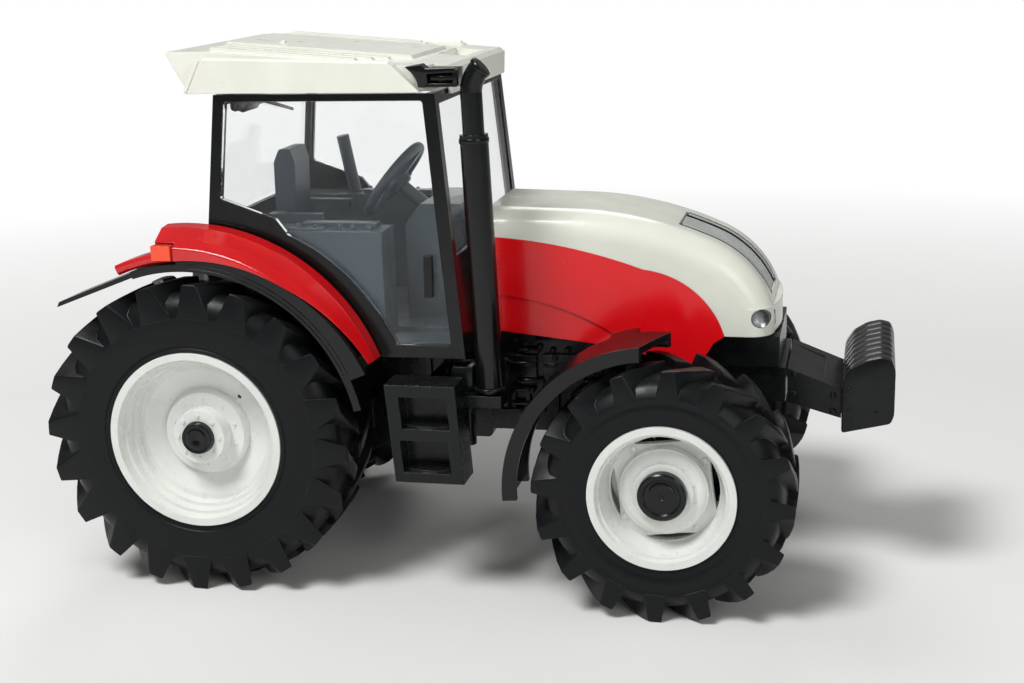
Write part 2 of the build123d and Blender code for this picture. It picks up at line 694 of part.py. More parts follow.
def seat():
    """Driver's seat with pedestal, cushion, arm rests and backrest."""
    pedestal = block((9, 17), (-5, 5), (floor_z, 52))
    cushion = block((5.5, 19), (-7, 7), (52, 57))
    cushion = fillet(cushion.edges().filter_by(Axis.Y), 1.2)
    rest = block((6.5, 16.5), (7.2, 9.0), (60.5, 62.5)) + block((6.5, 9), (6, 9.0), (56, 62.5))
    back = side_outline([(6.0, 55), (6.2, 71.0), (7.3, 73.4), (9.4, 73.4), (10.2, 71.0), (9.8, 56)])
    back = across(fillet(back.vertices(), 0.6), -3.9, 3.9)
    return pedestal + cushion + both(rest) + back


def steering_wheel():
    """Steering wheel on a leaning column."""
    place = Plane(steering_hub, z_dir=column_lean)
    rim = place * Torus(7.4, 0.9)
    boss = extrude(place * Circle(2.2), 2.2)
    spoke = place * Pos(0, 0, 0.6) * Box(14.4, 1.6, 1.0)
    spokes = spoke + place * Pos(0, 0, 0.6) * Box(1.6, 14.4, 1.0)
    column = extrude(place * Circle(1.2), column_length)
    return rim + boss + spokes + column


def lever():
    """Control lever beside the seat."""
    foot_z = cab_waist_z - 0.4 + seat_gap
    x = arm_rest_rear_x - 1.7
    grip = rod((x, 17.5, foot_z - 2), (x - 2.1, 16.6, foot_z + 11.0), 1.2)
    return grip & block((x - 6, x + 6), (12, 21), (foot_z, foot_z + 13))


def roof_top_z(x):
    """Height of the sloping roof's top at an x."""
    return cab_roof_z + roof_rise - roof_slope * (x - 3)


def roof_rib(x_from, x_to, y_from, y_to, rise):
    """Low rib along the roof's top with slanting ends."""
    return plate([(x_from, roof_top_z(x_from) - 0.6), (x_to, roof_top_z(x_to) - 0.6),
                  (x_to - 1, roof_top_z(x_to) + rise), (x_from + 1, roof_top_z(x_from) + rise)],
                 y_from, y_to)


def roof():
    """Roof with side fascias, a raised top with ribs, and a notched right front corner."""
    low = cab_roof_z + seat_gap
    w = roof_half_width
    lip_x = cab_front_top_x + 0.3
    front_x = lip_x + 0.9
    nose = [(lip_x, low), (lip_x, low - 1.1), (lip_x + 0.7, low - 1.1), (front_x, roof_top_z(front_x) - 0.7)]
    rear_z = roof_top_z(3)
    core = plate([(-0.8, low)] + nose + [(lip_x, roof_top_z(lip_x)), (3, rear_z), (-4.5, rear_z),
                                         (-3.9, rear_z - 1.3), (-1.8, low + 1.75)], 2 - w, w - 2)
    side = side_outline([(-0.8, low), (lip_x - 2.5, low), (lip_x - 7.4, low + 4.65), (0.9, low + 5.65)])
    fascia = fillet(side.vertices().sort_by(Axis.Z)[-2:], 2.0)
    body = core + both(across(fascia, w - 2.6, w))
    deck = roof_rib(1, 36, -11, 11, 0.7)
    # y of each rib, and its front end
    for y, front in ((13.5, 33), (16.5, 31), (19.5, 29)):
        deck += both(roof_rib(2, front, y, y + 1.3, 0.5))
    well = block((lip_x - 6.5, lip_x - 1.4), (2, 15), (roof_top_z(lip_x) - 0.9, rear_z + 2))
    notch = block((cab_front_top_x - 1.8 - seat_gap, lip_x + 3), (-w - 1, -16), (low + 0.5, rear_z + 2))
    notch += block((cab_front_top_x + 0.2, lip_x + 3), (-w - 1, -16), (low - 5, rear_z + 2))
    return body + deck - well - notch


def door_handle():
    """Upright black bar on the side glass."""
    grip = block((0, 1.4), (0, 1), (51.6, 58.6)).faces().sort_by(Axis.Y)[0]
    return side_layer(Pos(cab_front_foot_x - 6.5, 0, 0) * grip, -0.9, 1.0)


def cab():
    """Cab frame, glass, roof and everything inside."""
    add("cab_frame", cab_frame())
    add_pair("side_glass", side_glass())
    add("windscreen", leaning_pane(cab_front_x, front_window_span(glass_fit), -0.2))
    add("rear_glass", leaning_pane(cab_rear_x, rear_window_span(glass_fit), 0.2))
    add("cab_interior", cab_interior())
    add("seat", seat())
    add("steering_wheel", steering_wheel())
    add("control_lever", lever())
    add("roof", roof())
    add("door_handles", both(door_handle()))


# ---- fenders and bonnet --------------------------------------------------------------
def fender_lip(clearance):
    """Round bar that bounds the fender's lower edge, smaller by a clearance."""
    x, z = fender_lip_shift[0], rear_tyre_r + fender_lip_shift[1]
    return rod((x, 0, z), (x, 40, z), fender_lip_r - clearance)


def lamp_block(clearance):
    """Space of the lamp in the fender's outer rear corner, larger all round by a clearance."""
    x, y, z = fender_shift[0] - 3.3, fender_outer_y, rear_tyre_r + fender_r - 4.2
    return block((x - 0.2 - clearance, x + 3.2 + clearance), (y - 1.2 - clearance, y + 0.4),
                 (z - clearance, z + 2.5 + clearance))


def rear_fender():
    """Red rear fender with a sloping outer shoulder, a tapering front end and a low tail."""
    y, out, lip_r = fender_inner_y, fender_outer_y, fender_r - 3.4
    centre = (fender_shift[0], rear_tyre_r + fender_shift[1])
    crown = [(lip_r - 2, y), (fender_r, y), (fender_r - 0.3, y + 3.1), (fender_r - 1.8, out - 1.9),
             (lip_r + 0.4, out), (lip_r - 2, out)]
    body = swept_round(centre, crown, 21.5, 96, 0.45) - fender_lip(0)
    body -= swept_round(centre, [(lip_r - 3, y - 1), (lip_r + 1.4, y - 1), (lip_r + 1.2, out - 4.1),
                                 (lip_r - 3, out - 1.6)], 18, 94.5)
    top = liner_r + liner_wall + 0.1
    tail = swept_round(rear_axle, [(top, y + 1.3), (top + 1.8, y + 1.3), (top + 1.8, out - 1.4),
                                   (top, out - 1.4)], 93, 113, 0.6)
    return body - lamp_block(seat_gap) + tail


def fender_liner():
    """Black liner under the fender, with a lip that follows its edge and a long tail."""
    r, top, out = liner_r, liner_r + liner_wall, fender_outer_y - 0.6
    body = swept_round(rear_axle, [(r, 17.0), (top, 17.0), (top, out), (r, out)], 12, 108)
    lip = swept_round(rear_axle, [(r, out - 1.3), (r + 6, out - 1.3), (r + 6, out), (r, out)], 22, 92)
    root = around(rear_axle, r + 0.3, 107)
    end = (root[0] - 14.9, root[1] - 5.6)
    tail = plate([root, (root[0] + 0.2, root[1] + 1.0), (end[0] + 0.4, end[1] + 0.9), end], 24, out)
    return body + (lip & fender_lip(0.2)) + tail


def indicator():
    """Orange lamp in the fender's outer rear corner."""
    return lamp_block(0)


def bonnet_x(share):
    """X at a share of the bonnet's length from its rear edge."""
    return bonnet_rear_x + share * (bonnet_nose_x - bonnet_rear_x)


def bonnet_outline():
    """Side outline of the bonnet down to below its open foot."""
    # share of the length, and height
    rear, crown, brow, nose = [(bonnet_x(share), z) for share, z in (
        (0, 64.4), (0.29, 64.0), (0.779, 58.5), (0.974, 48.4))]
    top = Line(rear, crown)
    slope = TangentArc(crown, brow, tangent=top % 1)
    front = TangentArc(brow, nose, tangent=slope % 1)
    fall = front % 1
    turn = JernArc(nose, fall, 8.0, -90 - math.degrees(math.atan2(fall.Y, fall.X)))
    foot = Polyline(turn @ 1, ((turn @ 1).X, 34), (rear[0], 34), rear)
    return Plane.XZ * make_face(top + slope + front + turn + foot)


def nose_plan():
    """Plan of the lower nose: a bowed front with rounded corners."""
    half, corner_x = bonnet_half_width, bonnet_nose_x - 2.0
    bow = ThreePointArc((corner_x, -half), (bonnet_nose_x, 0), (corner_x, half))
    rear_x = bonnet_nose_x - 9
    sides = Polyline((corner_x, half), (rear_x, half), (rear_x, -half), (corner_x, -half))
    plan = make_face(bow + sides)
    return fillet(plan.vertices().sort_by(Axis.X)[-2:], bonnet_edge_r - 0.8)


def bonnet_body(inset):
    """Closed bonnet form with its proud lower nose, drawn in all round by an inset."""
    half = bonnet_half_width - inset
    outline = bonnet_outline()
    if inset:
        outline = offset(outline, -inset, kind=Kind.INTERSECTION)
    body = across(outline, -half, half)
    sides = body.faces().filter_by(Axis.Y).edges()
    body = fillet(sides.filter_by(lambda e: e.center().X > bonnet_rear_x + 2 and e.center().Z > 37),
                  bonnet_edge_r - inset)
    plan = offset(nose_plan(), -inset, kind=Kind.INTERSECTION) if inset else nose_plan()
    return body + extrude(Pos(0, 0, 36) * plan, lower_nose_z - inset - 36)


def panel_low_edge():
    """Lower edge of the bonnet's sides, from the rear to the foot of the nose."""
    return [(bonnet_rear_x - 1, 43.3), (bonnet_nose_x - 29.8, 40.9), (bonnet_nose_x - 13.3, 37.7),
            (bonnet_nose_x - 12.1, 39.6), (bonnet_nose_x - 10.8, 41.7)]


def panel_zone():
    """Outline of the red side panels."""
    nose = bonnet_nose_x
    corner = (nose - 8.9, nose_low_z)
    low = panel_low_edge()
    start = (bonnet_rear_x - 1, 59.7)
    line = Polyline(start, low[0], *low[1:], corner)
    line += ThreePointArc(corner, (nose - 12.6, 49.4), (nose - 22.6, 54.3))
    line += ThreePointArc((nose - 22.6, 54.3), (nose - 35.0, 57.8), start)
    return Plane.XZ * make_face(line)


def panel_relief():
    """Outline of the shallow step along the foot of each side panel."""
    x = bonnet_rear_x
    start, end = (x + 2.2, 49.3), (x + 22.9, 42.4)
    foot = Polyline(end, (end[0], 38), (start[0], 38), start)
    return Plane.XZ * make_face(ThreePointArc(start, (x + 13.6, 46.9), end) + foot)


def bonnet_layer(depth_from, depth_to):
    """Layer of the bonnet's skin between two depths."""
    return bonnet_body(depth_from) - bonnet_body(depth_to)


def lamp_zone(radius):
    """Round zone along Y through the lower corners of the nose, on the left."""
    x = bonnet_nose_x - 2.9
    return rod((x, 6.5, 46.1), (x, 20, 46.1), radius)


def grille_zone(inset):
    """Zone of the grille strip on the nose, drawn in by an inset."""
    half = grille_half_width - inset
    return block((bonnet_x(0.65) + inset, bonnet_nose_x + 3), (-half, half), (48.9 + inset, 70))


def grille():
    """Strip on the nose: sunk field between two ribs, each with a groove outside it."""
    field = bonnet_layer(0.35, grille_depth - glass_fit) & grille_zone(glass_fit)
    rib = block((bonnet_x(0.66), bonnet_nose_x), (4.3, 5.4), (49.4, 70))
    return field + (bonnet_layer(0, 0.5) & both(rib))


def bonnet_shell():
    """Hollow bonnet, open below and at the rear, with seats for grille and lamps."""
    cavity = bonnet_body(bonnet_wall)
    shell = bonnet_body(0) - cavity - Pos(-3, 0, 0) * cavity
    shell -= bonnet_layer(-0.3, grille_depth) & grille_zone(0)
    return shell - (bonnet_layer(-0.3, 0.9) & both(lamp_zone(lamp_r)))


def bonnet():
    """White bonnet top with its nose, red side panels, grille and lamps."""
    shell = bonnet_shell()
    red = across(panel_zone(), -40, 40)
    nose = bonnet_nose_x
    below = plate(panel_low_edge() + [(nose - 8.9, nose_low_z), (nose + 2, nose_low_z), (nose + 2, 30),
                                      (bonnet_rear_x - 1, 30)], -40, 40)
    add("bonnet_top", shell - red - below)
    side = shell & red & block((30, nose + 20), (0, 40), (0, 100))
    add_pair("side_panel", side - across(panel_relief(), bonnet_half_width - 0.35, bonnet_half_width + 1))
    add("grille", grille())
    add_pair("headlamp", bonnet_layer(0.05, 0.8) & lamp_zone(lamp_r - glass_fit))


def fenders():
    """Rear fenders, liners and lamps."""
    add_pair("rear_fender", rear_fender())
    add_pair("fender_liner", fender_liner())
    add_pair("indicator", indicator())


def save():
    """Move every node to the common origin and write it."""
    os.makedirs("parts", exist_ok=True)
    for name, piece in nodes.items():
        export_step(Pos(-origin_x, 0, 0) * piece, "parts/" + name + ".step")


wheels()
axles()
chassis()
cab()
fenders()
bonnet()
save()
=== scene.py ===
import json
import logging
import math
from dataclasses import dataclass
from enum import Enum
from typing import Sequence

import bmesh
import bpy
from bmesh.types import BMEdge, BMFace, BMVert
from bpy.types import Material, Node, NodeSocket, NodeTree, Object
from mathutils import Matrix, Vector


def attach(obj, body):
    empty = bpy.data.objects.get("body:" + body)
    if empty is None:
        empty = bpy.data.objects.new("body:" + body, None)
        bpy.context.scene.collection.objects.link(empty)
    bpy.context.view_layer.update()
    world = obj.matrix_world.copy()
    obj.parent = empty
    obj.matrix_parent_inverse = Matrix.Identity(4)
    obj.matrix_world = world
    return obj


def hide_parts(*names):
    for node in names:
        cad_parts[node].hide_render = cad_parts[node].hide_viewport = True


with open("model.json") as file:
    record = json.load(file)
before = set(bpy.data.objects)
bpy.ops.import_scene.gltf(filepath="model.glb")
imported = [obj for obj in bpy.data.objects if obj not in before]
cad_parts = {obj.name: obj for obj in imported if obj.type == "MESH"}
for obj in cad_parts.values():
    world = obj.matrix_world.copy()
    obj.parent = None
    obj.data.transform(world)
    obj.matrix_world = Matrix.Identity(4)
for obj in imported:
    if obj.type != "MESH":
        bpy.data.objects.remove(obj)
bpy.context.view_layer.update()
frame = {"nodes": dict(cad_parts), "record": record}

MM = 0.001
MICRON = 1e-6
SHARP = math.radians(35)  # edges that turn more than this stay sharp
AIM = (0.0, 0.0, 0.045)  # middle of the model, metres

Point = tuple[float, float, float]
Flat = tuple[float, float]
Outline = tuple[Flat, ...]
Four = tuple[float, float, float, float]
Box = tuple[Point, Point, float]  # lowest corner, highest corner, rounding
Bar = tuple[Point, Point, float, float]  # two ends, radius, rounding of the rims

log = logging.getLogger("model_tractor")


class Side(Enum):
    """Side of the tractor, with the sign of its Y."""

    LEFT = 1
    RIGHT = -1

    @property
    def word(self) -> str:
        """The side's name as node names end."""
        return self.name.lower()


# ---- colours and nodes ----
def linear(hex_colour: str) -> Four:
    """Turn an sRGB hex colour to linear RGBA.

    Args:
        hex_colour: Colour such as "#A1B2C3".

    Returns:
        Linear red, green, blue and an alpha of one.
    """
    parts = [int(hex_colour[i:i + 2], 16) / 255 for i in (1, 3, 5)]
    rgb = [v / 12.92 if v <= 0.04045 else ((v + 0.055) / 1.055) ** 2.4 for v in parts]
    return (*rgb, 1.0)


def toned(colour: Four, share: float, lift: float = 0.0) -> Four:
    """Multiply a linear colour's channels by a share and add a lift, so that black pales too."""
    return (*(min(1.0, v * share + lift) for v in colour[:3]), 1.0)


def add_node(tree: NodeTree, kind: str, inputs: dict | None = None, **settings: str | int) -> Node:
    """Add one shader node with its settings, values and links.

    Args:
        tree: Node tree.
        kind: Blender's name of the node's class, after ShaderNode.
        inputs: For each socket's name or number, a value or an output socket to link.
        settings: Attributes of the node by name.

    Returns:
        The new node.
    """
    node = tree.nodes.new("ShaderNode" + kind)
    for name, value in settings.items():
        setattr(node, name, value)
    for key, value in (inputs or {}).items():
        socket = node.inputs[key]
        if isinstance(value, NodeSocket):
            tree.links.new(value, socket)
        else:
            socket.default_value = value
    return node


def speckle(tree: NodeTree, size_mm: float, detail: float = 2.0,
            stretch: tuple[float, float, float] = (1, 1, 1)) -> NodeSocket:
    """Noise whose spots are about a real size.

    Args:
        tree: Node tree.
        size_mm: Width of a spot in millimetres.
        detail: Octaves of finer noise.
        stretch: How many times longer a spot is along each axis.

    Returns:
        The noise's factor, from about 0.3 to 0.7.
    """
    coords = add_node(tree, "TexCoord")
    mapping = add_node(tree, "Mapping", {
        "Vector": coords.outputs["Object"], "Scale": [1 / s for s in stretch]})
    noise = add_node(tree, "TexNoise", {
        "Vector": mapping.outputs["Vector"], "Scale": 1 / (size_mm * MM), "Detail": detail})
    return noise.outputs["Fac"]


def remap(tree: NodeTree, value: NodeSocket, low: float, high: float,
          to_low: float, to_high: float) -> NodeSocket:
    """Map a value from one range to another, clamped.

    Args:
        tree: Node tree.
        value: Socket with the value.
        low: Value that gives to_low.
        high: Value that gives to_high.
        to_low: Result at low.
        to_high: Result at high.

    Returns:
        The mapped value's socket.
    """
    node = add_node(tree, "MapRange", {
        "Value": value, "From Min": low, "From Max": high, "To Min": to_low, "To Max": to_high})
    return node.outputs["Result"]


def blend(tree: NodeTree, factor: NodeSocket, first: NodeSocket | Four,
          second: NodeSocket | Four) -> NodeSocket:
    """Mix two colours.

    Args:
        tree: Node tree.
        factor: Share of the second colour.
        first: Colour or socket.
        second: Colour or socket.

    Returns:
        The mixed colour's socket.
    """
    return add_node(tree, "Mix", {0: factor, 6: first, 7: second}, data_type="RGBA").outputs[2]


def combine(tree: NodeTree, operation: str, first: NodeSocket,
            second: NodeSocket) -> NodeSocket:
    """Join two values by the math operation of that name."""
    return add_node(tree, "Math", {0: first, 1: second}, operation=operation).outputs[0]


def relief(tree: NodeTree, height: NodeSocket, depth_um: float,
           strength: float, rounding: Node | None = None) -> NodeSocket:
    """Bend the normal by a height.

    Args:
        tree: Node tree.
        height: Socket with the height, from zero to one.
        depth_um: Real depth of the relief in micrometres.
        strength: Share of it that shows.
        rounding: Bevel node whose normal is bent, if any.

    Returns:
        The normal's socket.
    """
    inputs = {"Strength": strength, "Distance": depth_um * MICRON, "Height": height}
    if rounding:
        inputs["Normal"] = rounding.outputs["Normal"]
    return add_node(tree, "Bump", inputs).outputs["Normal"]


def wear_and_glint_edge_mask(tree: NodeTree, rounding: Node,
              reach: float) -> NodeSocket:
    """Mask that is one along edges where a bevel node's normal parts by the reach: scuffed or thin
    paint, and on moulded plastic edges paled partly by scuffing and partly as a painted highlight.
    """
    geometry = add_node(tree, "NewGeometry")
    turned = add_node(tree, "VectorMath", {
        0: rounding.outputs["Normal"], 1: geometry.outputs["Normal"]}, operation="DOT_PRODUCT")
    return remap(tree, turned.outputs["Value"], 1.0, 1.0 - reach, 0.0, 1.0)


@dataclass(frozen=True)
class Finish:
    """A kind of surface, drawn by shader nodes of which the last is its shader."""

    name: str

    def surface(self, tree: NodeTree) -> Node:
        """Build the surface's nodes."""
        raise NotImplementedError

    def material(self) -> Material:
        """Build the finished node material."""
        material = bpy.data.materials.new(self.name)
        material.use_nodes = True
        tree = material.node_tree
        tree.nodes.clear()
        add_node(tree, "OutputMaterial", {"Surface": self.surface(tree).outputs[0]})
        return material


@dataclass(frozen=True)
class MouldedPlastic(Finish):
    """Injection-moulded plastic: one colour with faint flow mottling, soft edges and fine grain."""

    colour: str
    roughness: float
    mottle: float = 0.05  # depth of the colour's variation
    mottle_mm: float = 6.0  # width of a flow mark
    grain_mm: float = 0.25  # drawn coarser than the real 0.05 mm texture so that it shows
    grain_um: float = 4.0  # depth of the surface grain
    edge_mm: float = 0.18  # rounding that a mould leaves on an edge
    edge_wear_and_glint: float = 0.25  # how much an edge pales, partly from handling and partly as a painted highlight
    edge_wear_and_glint_colour: str = "#8C9092"
    gleam: float = 0.0  # clear coat
    dust: float = 0.03  # dust that lies on upward faces
    dust_colour: str = "#B9B4A8"
    shine: float = 0.5  # strength of the reflection

    def surface(self, tree: NodeTree) -> Node:
        """Build the surface's nodes."""
        flow = speckle(tree, self.mottle_mm, 3.0, (1, 1, 1.6))
        base = linear(self.colour)
        dark, pale = toned(base, 1 - self.mottle), toned(base, 1 + self.mottle, 0.004 * self.mottle)
        colour = blend(tree, remap(tree, flow, 0.35, 0.65, 0, 1), dark, pale)
        rounding = add_node(tree, "Bevel", {"Radius": self.edge_mm * MM}, samples=6)
        # edges pale partly from handling and partly as a painted highlight, where a rounded edge
        # catches the lamps
        rubbed_and_lit_edges = wear_and_glint_edge_mask(tree, rounding, 0.25)
        patches = remap(tree, speckle(tree, 1.2, 3.0), 0.42, 0.62, 0, self.edge_wear_and_glint)
        worn_and_glinting = combine(tree, "MULTIPLY", rubbed_and_lit_edges, patches)
        colour = blend(tree, worn_and_glinting, colour, linear(self.edge_wear_and_glint_colour))
        up = add_node(tree, "SeparateXYZ", {0: add_node(tree, "NewGeometry").outputs["Normal"]})
        lying = remap(tree, up.outputs["Z"], 0.55, 1.0, 0.0, self.dust)
        specks = remap(tree, speckle(tree, 0.5, 4.0), 0.45, 0.6, 0.3, 1.0)
        dusty = combine(tree, "MULTIPLY", lying, specks)
        colour = blend(tree, dusty, colour, linear(self.dust_colour))
        rough = remap(tree, speckle(tree, 2.4, 4.0), 0.3, 0.7,
                      max(0.02, self.roughness * 0.82), min(1.0, self.roughness * 1.2))
        grain = relief(tree, speckle(tree, self.grain_mm), self.grain_um, 0.5, rounding)
        return add_node(tree, "BsdfPrincipled", {
            "Base Color": colour, "Roughness": rough, "IOR": 1.49, "Specular IOR Level": self.shine,
            "Coat Weight": self.gleam, "Coat Roughness": 0.06, "Normal": grain})


@dataclass(frozen=True)
class Lacquer(Finish):
    """Gloss lacquer sprayed on die-cast zinc: orange peel, tiny dust nibs and a clear top."""

    colour: str
    peel_mm: float = 0.8  # width of the orange peel's waves
    peel_um: float = 3.0  # their height
    roughness: float = 0.22
    thick: float = 0.93  # brightness where the coat is thick
    edge_mm: float = 0.2  # rounding that the coat gives an edge
    chip: float = 0.25  # share of an edge where the paint is thin
    under_colour: str = "#9A9C9B"

    def surface(self, tree: NodeTree) -> Node:
        """Build the surface's nodes."""
        base = linear(self.colour)
        cover = remap(tree, speckle(tree, 9.0), 0.3, 0.7, 0, 1)
        colour = blend(tree, cover, toned(base, self.thick), base)
        rounding = add_node(tree, "Bevel", {"Radius": self.edge_mm * MM}, samples=6)
        thin = wear_and_glint_edge_mask(tree, rounding, 0.35)
        spots = remap(tree, speckle(tree, 0.9, 4.0), 0.55, 0.66, 0, self.chip)
        bare = combine(tree, "MULTIPLY", thin, spots)
        colour = blend(tree, bare, colour, linear(self.under_colour))
        nibs = remap(tree, speckle(tree, 0.35, 1.0), 0.66, 0.74, 0, 1)
        height = combine(tree, "ADD", nibs, speckle(tree, self.peel_mm, 1.0))
        peel = relief(tree, height, self.peel_um, 0.6, rounding)
        rough = remap(tree, speckle(tree, 5.0, 3.0), 0.3, 0.7,
                      self.roughness * 0.8, self.roughness * 1.25)
        return add_node(tree, "BsdfPrincipled", {
            "Base Color": colour, "Roughness": rough, "IOR": 1.5, "Specular IOR Level": 0.35,
            "Coat Weight": 0.2, "Coat Roughness": 0.08, "Normal": peel})


@dataclass(frozen=True)
class ClearPlastic(Finish):
    """Clear polystyrene glazing or lens: slight haze, flow lines and fine scratches."""

    tint: str = "#FAFBFB"
    roughness: float = 0.02
    haze: float = 0.012  # share of light that the scuffed surface scatters
    scuff_colour: str = "#D8DCDD"
    scratch_mm: float = 0.15  # width of a scratch
    flow_mm: float = 7.0  # width of a flow line
    relief_um: float = 2.0  # depth of both

    def surface(self, tree: NodeTree) -> Node:
        """Build the surface's nodes."""
        lines = speckle(tree, self.scratch_mm, 1.0, (30, 1, 6))
        height = combine(tree, "ADD", remap(tree, lines, 0.6, 0.75, 0, 0.4),
                         speckle(tree, self.flow_mm, 1.0))
        bump = relief(tree, height, self.relief_um, 0.3)
        clear = add_node(tree, "BsdfPrincipled", {
            "Base Color": linear(self.tint), "Roughness": self.roughness, "IOR": 1.1,
            "Transmission Weight": 1.0, "Specular IOR Level": 0.5, "Coat Weight": 0.3,
            "Coat Roughness": 0.03, "Normal": bump})
        scuffed = add_node(tree, "BsdfPrincipled", {
            "Base Color": linear(self.scuff_colour), "Roughness": 0.35})
        share = remap(tree, speckle(tree, 3.0, 4.0), 0.35, 0.7, self.haze * 0.4, self.haze * 1.4)
        return add_node(tree, "MixShader", {
            0: share, 1: clear.outputs[0], 2: scuffed.outputs[0]})


@dataclass(frozen=True)
class DrawnSteel(Finish):
    """Drawn steel wire and pins: metal with fine lengthwise lines."""

    colour: str = "#9FA1A3"
    groove_colour: str = "#7E8184"
    groove_um: float = 4.0  # depth of the drawing lines
    roughness: float = 0.32

    def surface(self, tree: NodeTree) -> Node:
        """Build the surface's nodes."""
        drawn = speckle(tree, 0.12, 2.0, (1, 1, 25))
        colour = blend(tree, remap(tree, drawn, 0.3, 0.7, 0, 1), linear(self.groove_colour),
                       linear(self.colour))
        bump = relief(tree, drawn, self.groove_um, 0.4)
        rough = remap(tree, drawn, 0.3, 0.7, self.roughness * 0.8, self.roughness * 1.3)
        return add_node(tree, "BsdfPrincipled", {
            "Base Color": colour, "Metallic": 1.0, "Roughness": rough, "Normal": bump})


# one finish for each material slot, named for what the real surface is
FINISHES = {
    # soft vinyl of the tyres: satin black, with paler lug edges, partly scuffed and partly a
    # painted highlight
    "tyre_rubber": MouldedPlastic(
        "soft_vinyl_tyre", "#0D0F11", 0.36, mottle=0.08, grain_mm=0.3, grain_um=7.0, edge_mm=0.12,
        edge_wear_and_glint=0.3, edge_wear_and_glint_colour="#5A6064", shine=0.24),
    # wheel centres, moulded in white
    "rim_white": MouldedPlastic(
        "white_styrene_rim", "#E4E7E2", 0.30, mottle=0.03, edge_wear_and_glint=0.1, edge_wear_and_glint_colour="#B9BCB6",
        gleam=0.25, dust=0.05),
    # polished black mouldings: cab frame, stack, front fenders, liners, hub caps; their grey edges
    # are partly scuffs and partly a painted highlight
    "black_gloss": MouldedPlastic(
        "black_gloss_styrene", "#0B0D0E", 0.22, mottle=0.15, edge_wear_and_glint=0.2, edge_wear_and_glint_colour="#7A7E80",
        gleam=0.12, dust=0.02, shine=0.3),
    # grained black mouldings: engine, housings, axles, weights, steps; their grey edges are partly
    # scuffs and partly a painted highlight
    "black_plastic": MouldedPlastic(
        "black_satin_styrene", "#0D1011", 0.26, mottle=0.15, grain_um=7.0, edge_wear_and_glint_colour="#6A6E70",
        dust=0.02, shine=0.3),
    "steel": DrawnSteel("drawn_steel_pin"),  # pins and bright reflectors
    "clear_glass": ClearPlastic("clear_styrene_glazing"),  # windows of the cab
    # seat, steering wheel, lever and consoles
    "interior_grey": MouldedPlastic(
        "slate_grey_styrene", "#38464E", 0.36, mottle=0.03, edge_wear_and_glint=0.2, edge_wear_and_glint_colour="#93A0A6"),
    # roof, moulded in ivory
    "roof_white": MouldedPlastic(
        "ivory_styrene_roof", "#F0F1E6", 0.33, mottle=0.025, edge_wear_and_glint=0.12, edge_wear_and_glint_colour="#C4C4B6",
        gleam=0.2, dust=0.06),
    "bonnet_white": Lacquer("ivory_lacquer_on_zinc", "#EDEFE2"),  # die-cast bonnet
    "panel_red": Lacquer("red_lacquer_on_zinc", "#F0101A"),  # its side panels
    # rear fenders, moulded in red
    "fender_red": MouldedPlastic(
        "red_gloss_styrene", "#D20812", 0.22, edge_wear_and_glint=0.15, edge_wear_and_glint_colour="#F08A80", gleam=0.5,
        dust=0.02),
    # turn lamps
    "indicator_orange": MouldedPlastic(
        "orange_lamp_styrene", "#FF4B1C", 0.25, mottle=0.04, gleam=0.5),
    # slats printed on the black nose
    "grille_grey": MouldedPlastic("silver_grey_print", "#B4B8B5", 0.36, mottle=0.06, edge_wear_and_glint=0.1),
    "lamp_clear": ClearPlastic("clear_lamp_lens", haze=0.15),  # headlamp lenses
}

# the same finishes as materials, once main has made them
MATERIALS: dict[str, Material] = {}


# ---- camera and studio ----
def placed(name: str, data: bpy.types.ID) -> Object:
    """Put a new object with its data into the scene, and return it."""
    made = bpy.data.objects.new(name, data)
    bpy.context.scene.collection.objects.link(made)
    return made


@dataclass(frozen=True)
class View:
    """Main camera: place, heading, tilt, roll and lens."""

    place_mm: Point = (69.16, -272.63, 110.18)
    heading: float = 13.0025  # degrees to the left of straight across
    tilt: float = 14.5374  # degrees down
    roll: float = -1.7224  # degrees
    sensor: float = 36.0  # width in millimetres
    focal_share: float = 1.541735  # focal length over the sensor's width

    def make(self) -> None:
        """Create the camera and make it the scene's own."""
        data = bpy.data.cameras.new("main_camera")
        data.sensor_width = self.sensor
        data.lens = self.sensor * self.focal_share
        data.clip_start = 0.01
        camera = placed("main_camera", data)
        camera.matrix_world = Matrix.Translation(Vector(self.place_mm) * MM)
        for degrees, axis in ((self.heading, "Z"), (90 - self.tilt, "X"), (self.roll, "Z")):
            camera.matrix_world @= Matrix.Rotation(math.radians(degrees), 4, axis)
        bpy.context.scene.camera = camera


@dataclass(frozen=True)
class Lamp:
    """One soft area light aimed at the middle of the model."""

    name: str
    place: Point  # metres
    size: float  # metres
    power: float  # watts

    def make(self) -> None:
        """Create the light."""
        data = bpy.data.lights.new(self.name, "AREA")
        data.size = self.size
        data.energy = self.power
        lamp = placed(self.name, data)
        lamp.location = self.place
        aim = Vector(AIM) - Vector(self.place)
        lamp.rotation_euler = aim.to_track_quat("-Z", "Y").to_euler()


def seen(tree: NodeTree) -> NodeSocket:
    """Mask that is one for rays that come straight from the camera or through glazing."""
    path = add_node(tree, "LightPath")
    return combine(tree, "MAXIMUM", path.outputs["Is Camera Ray"],
                   path.outputs["Is Transmission Ray"])


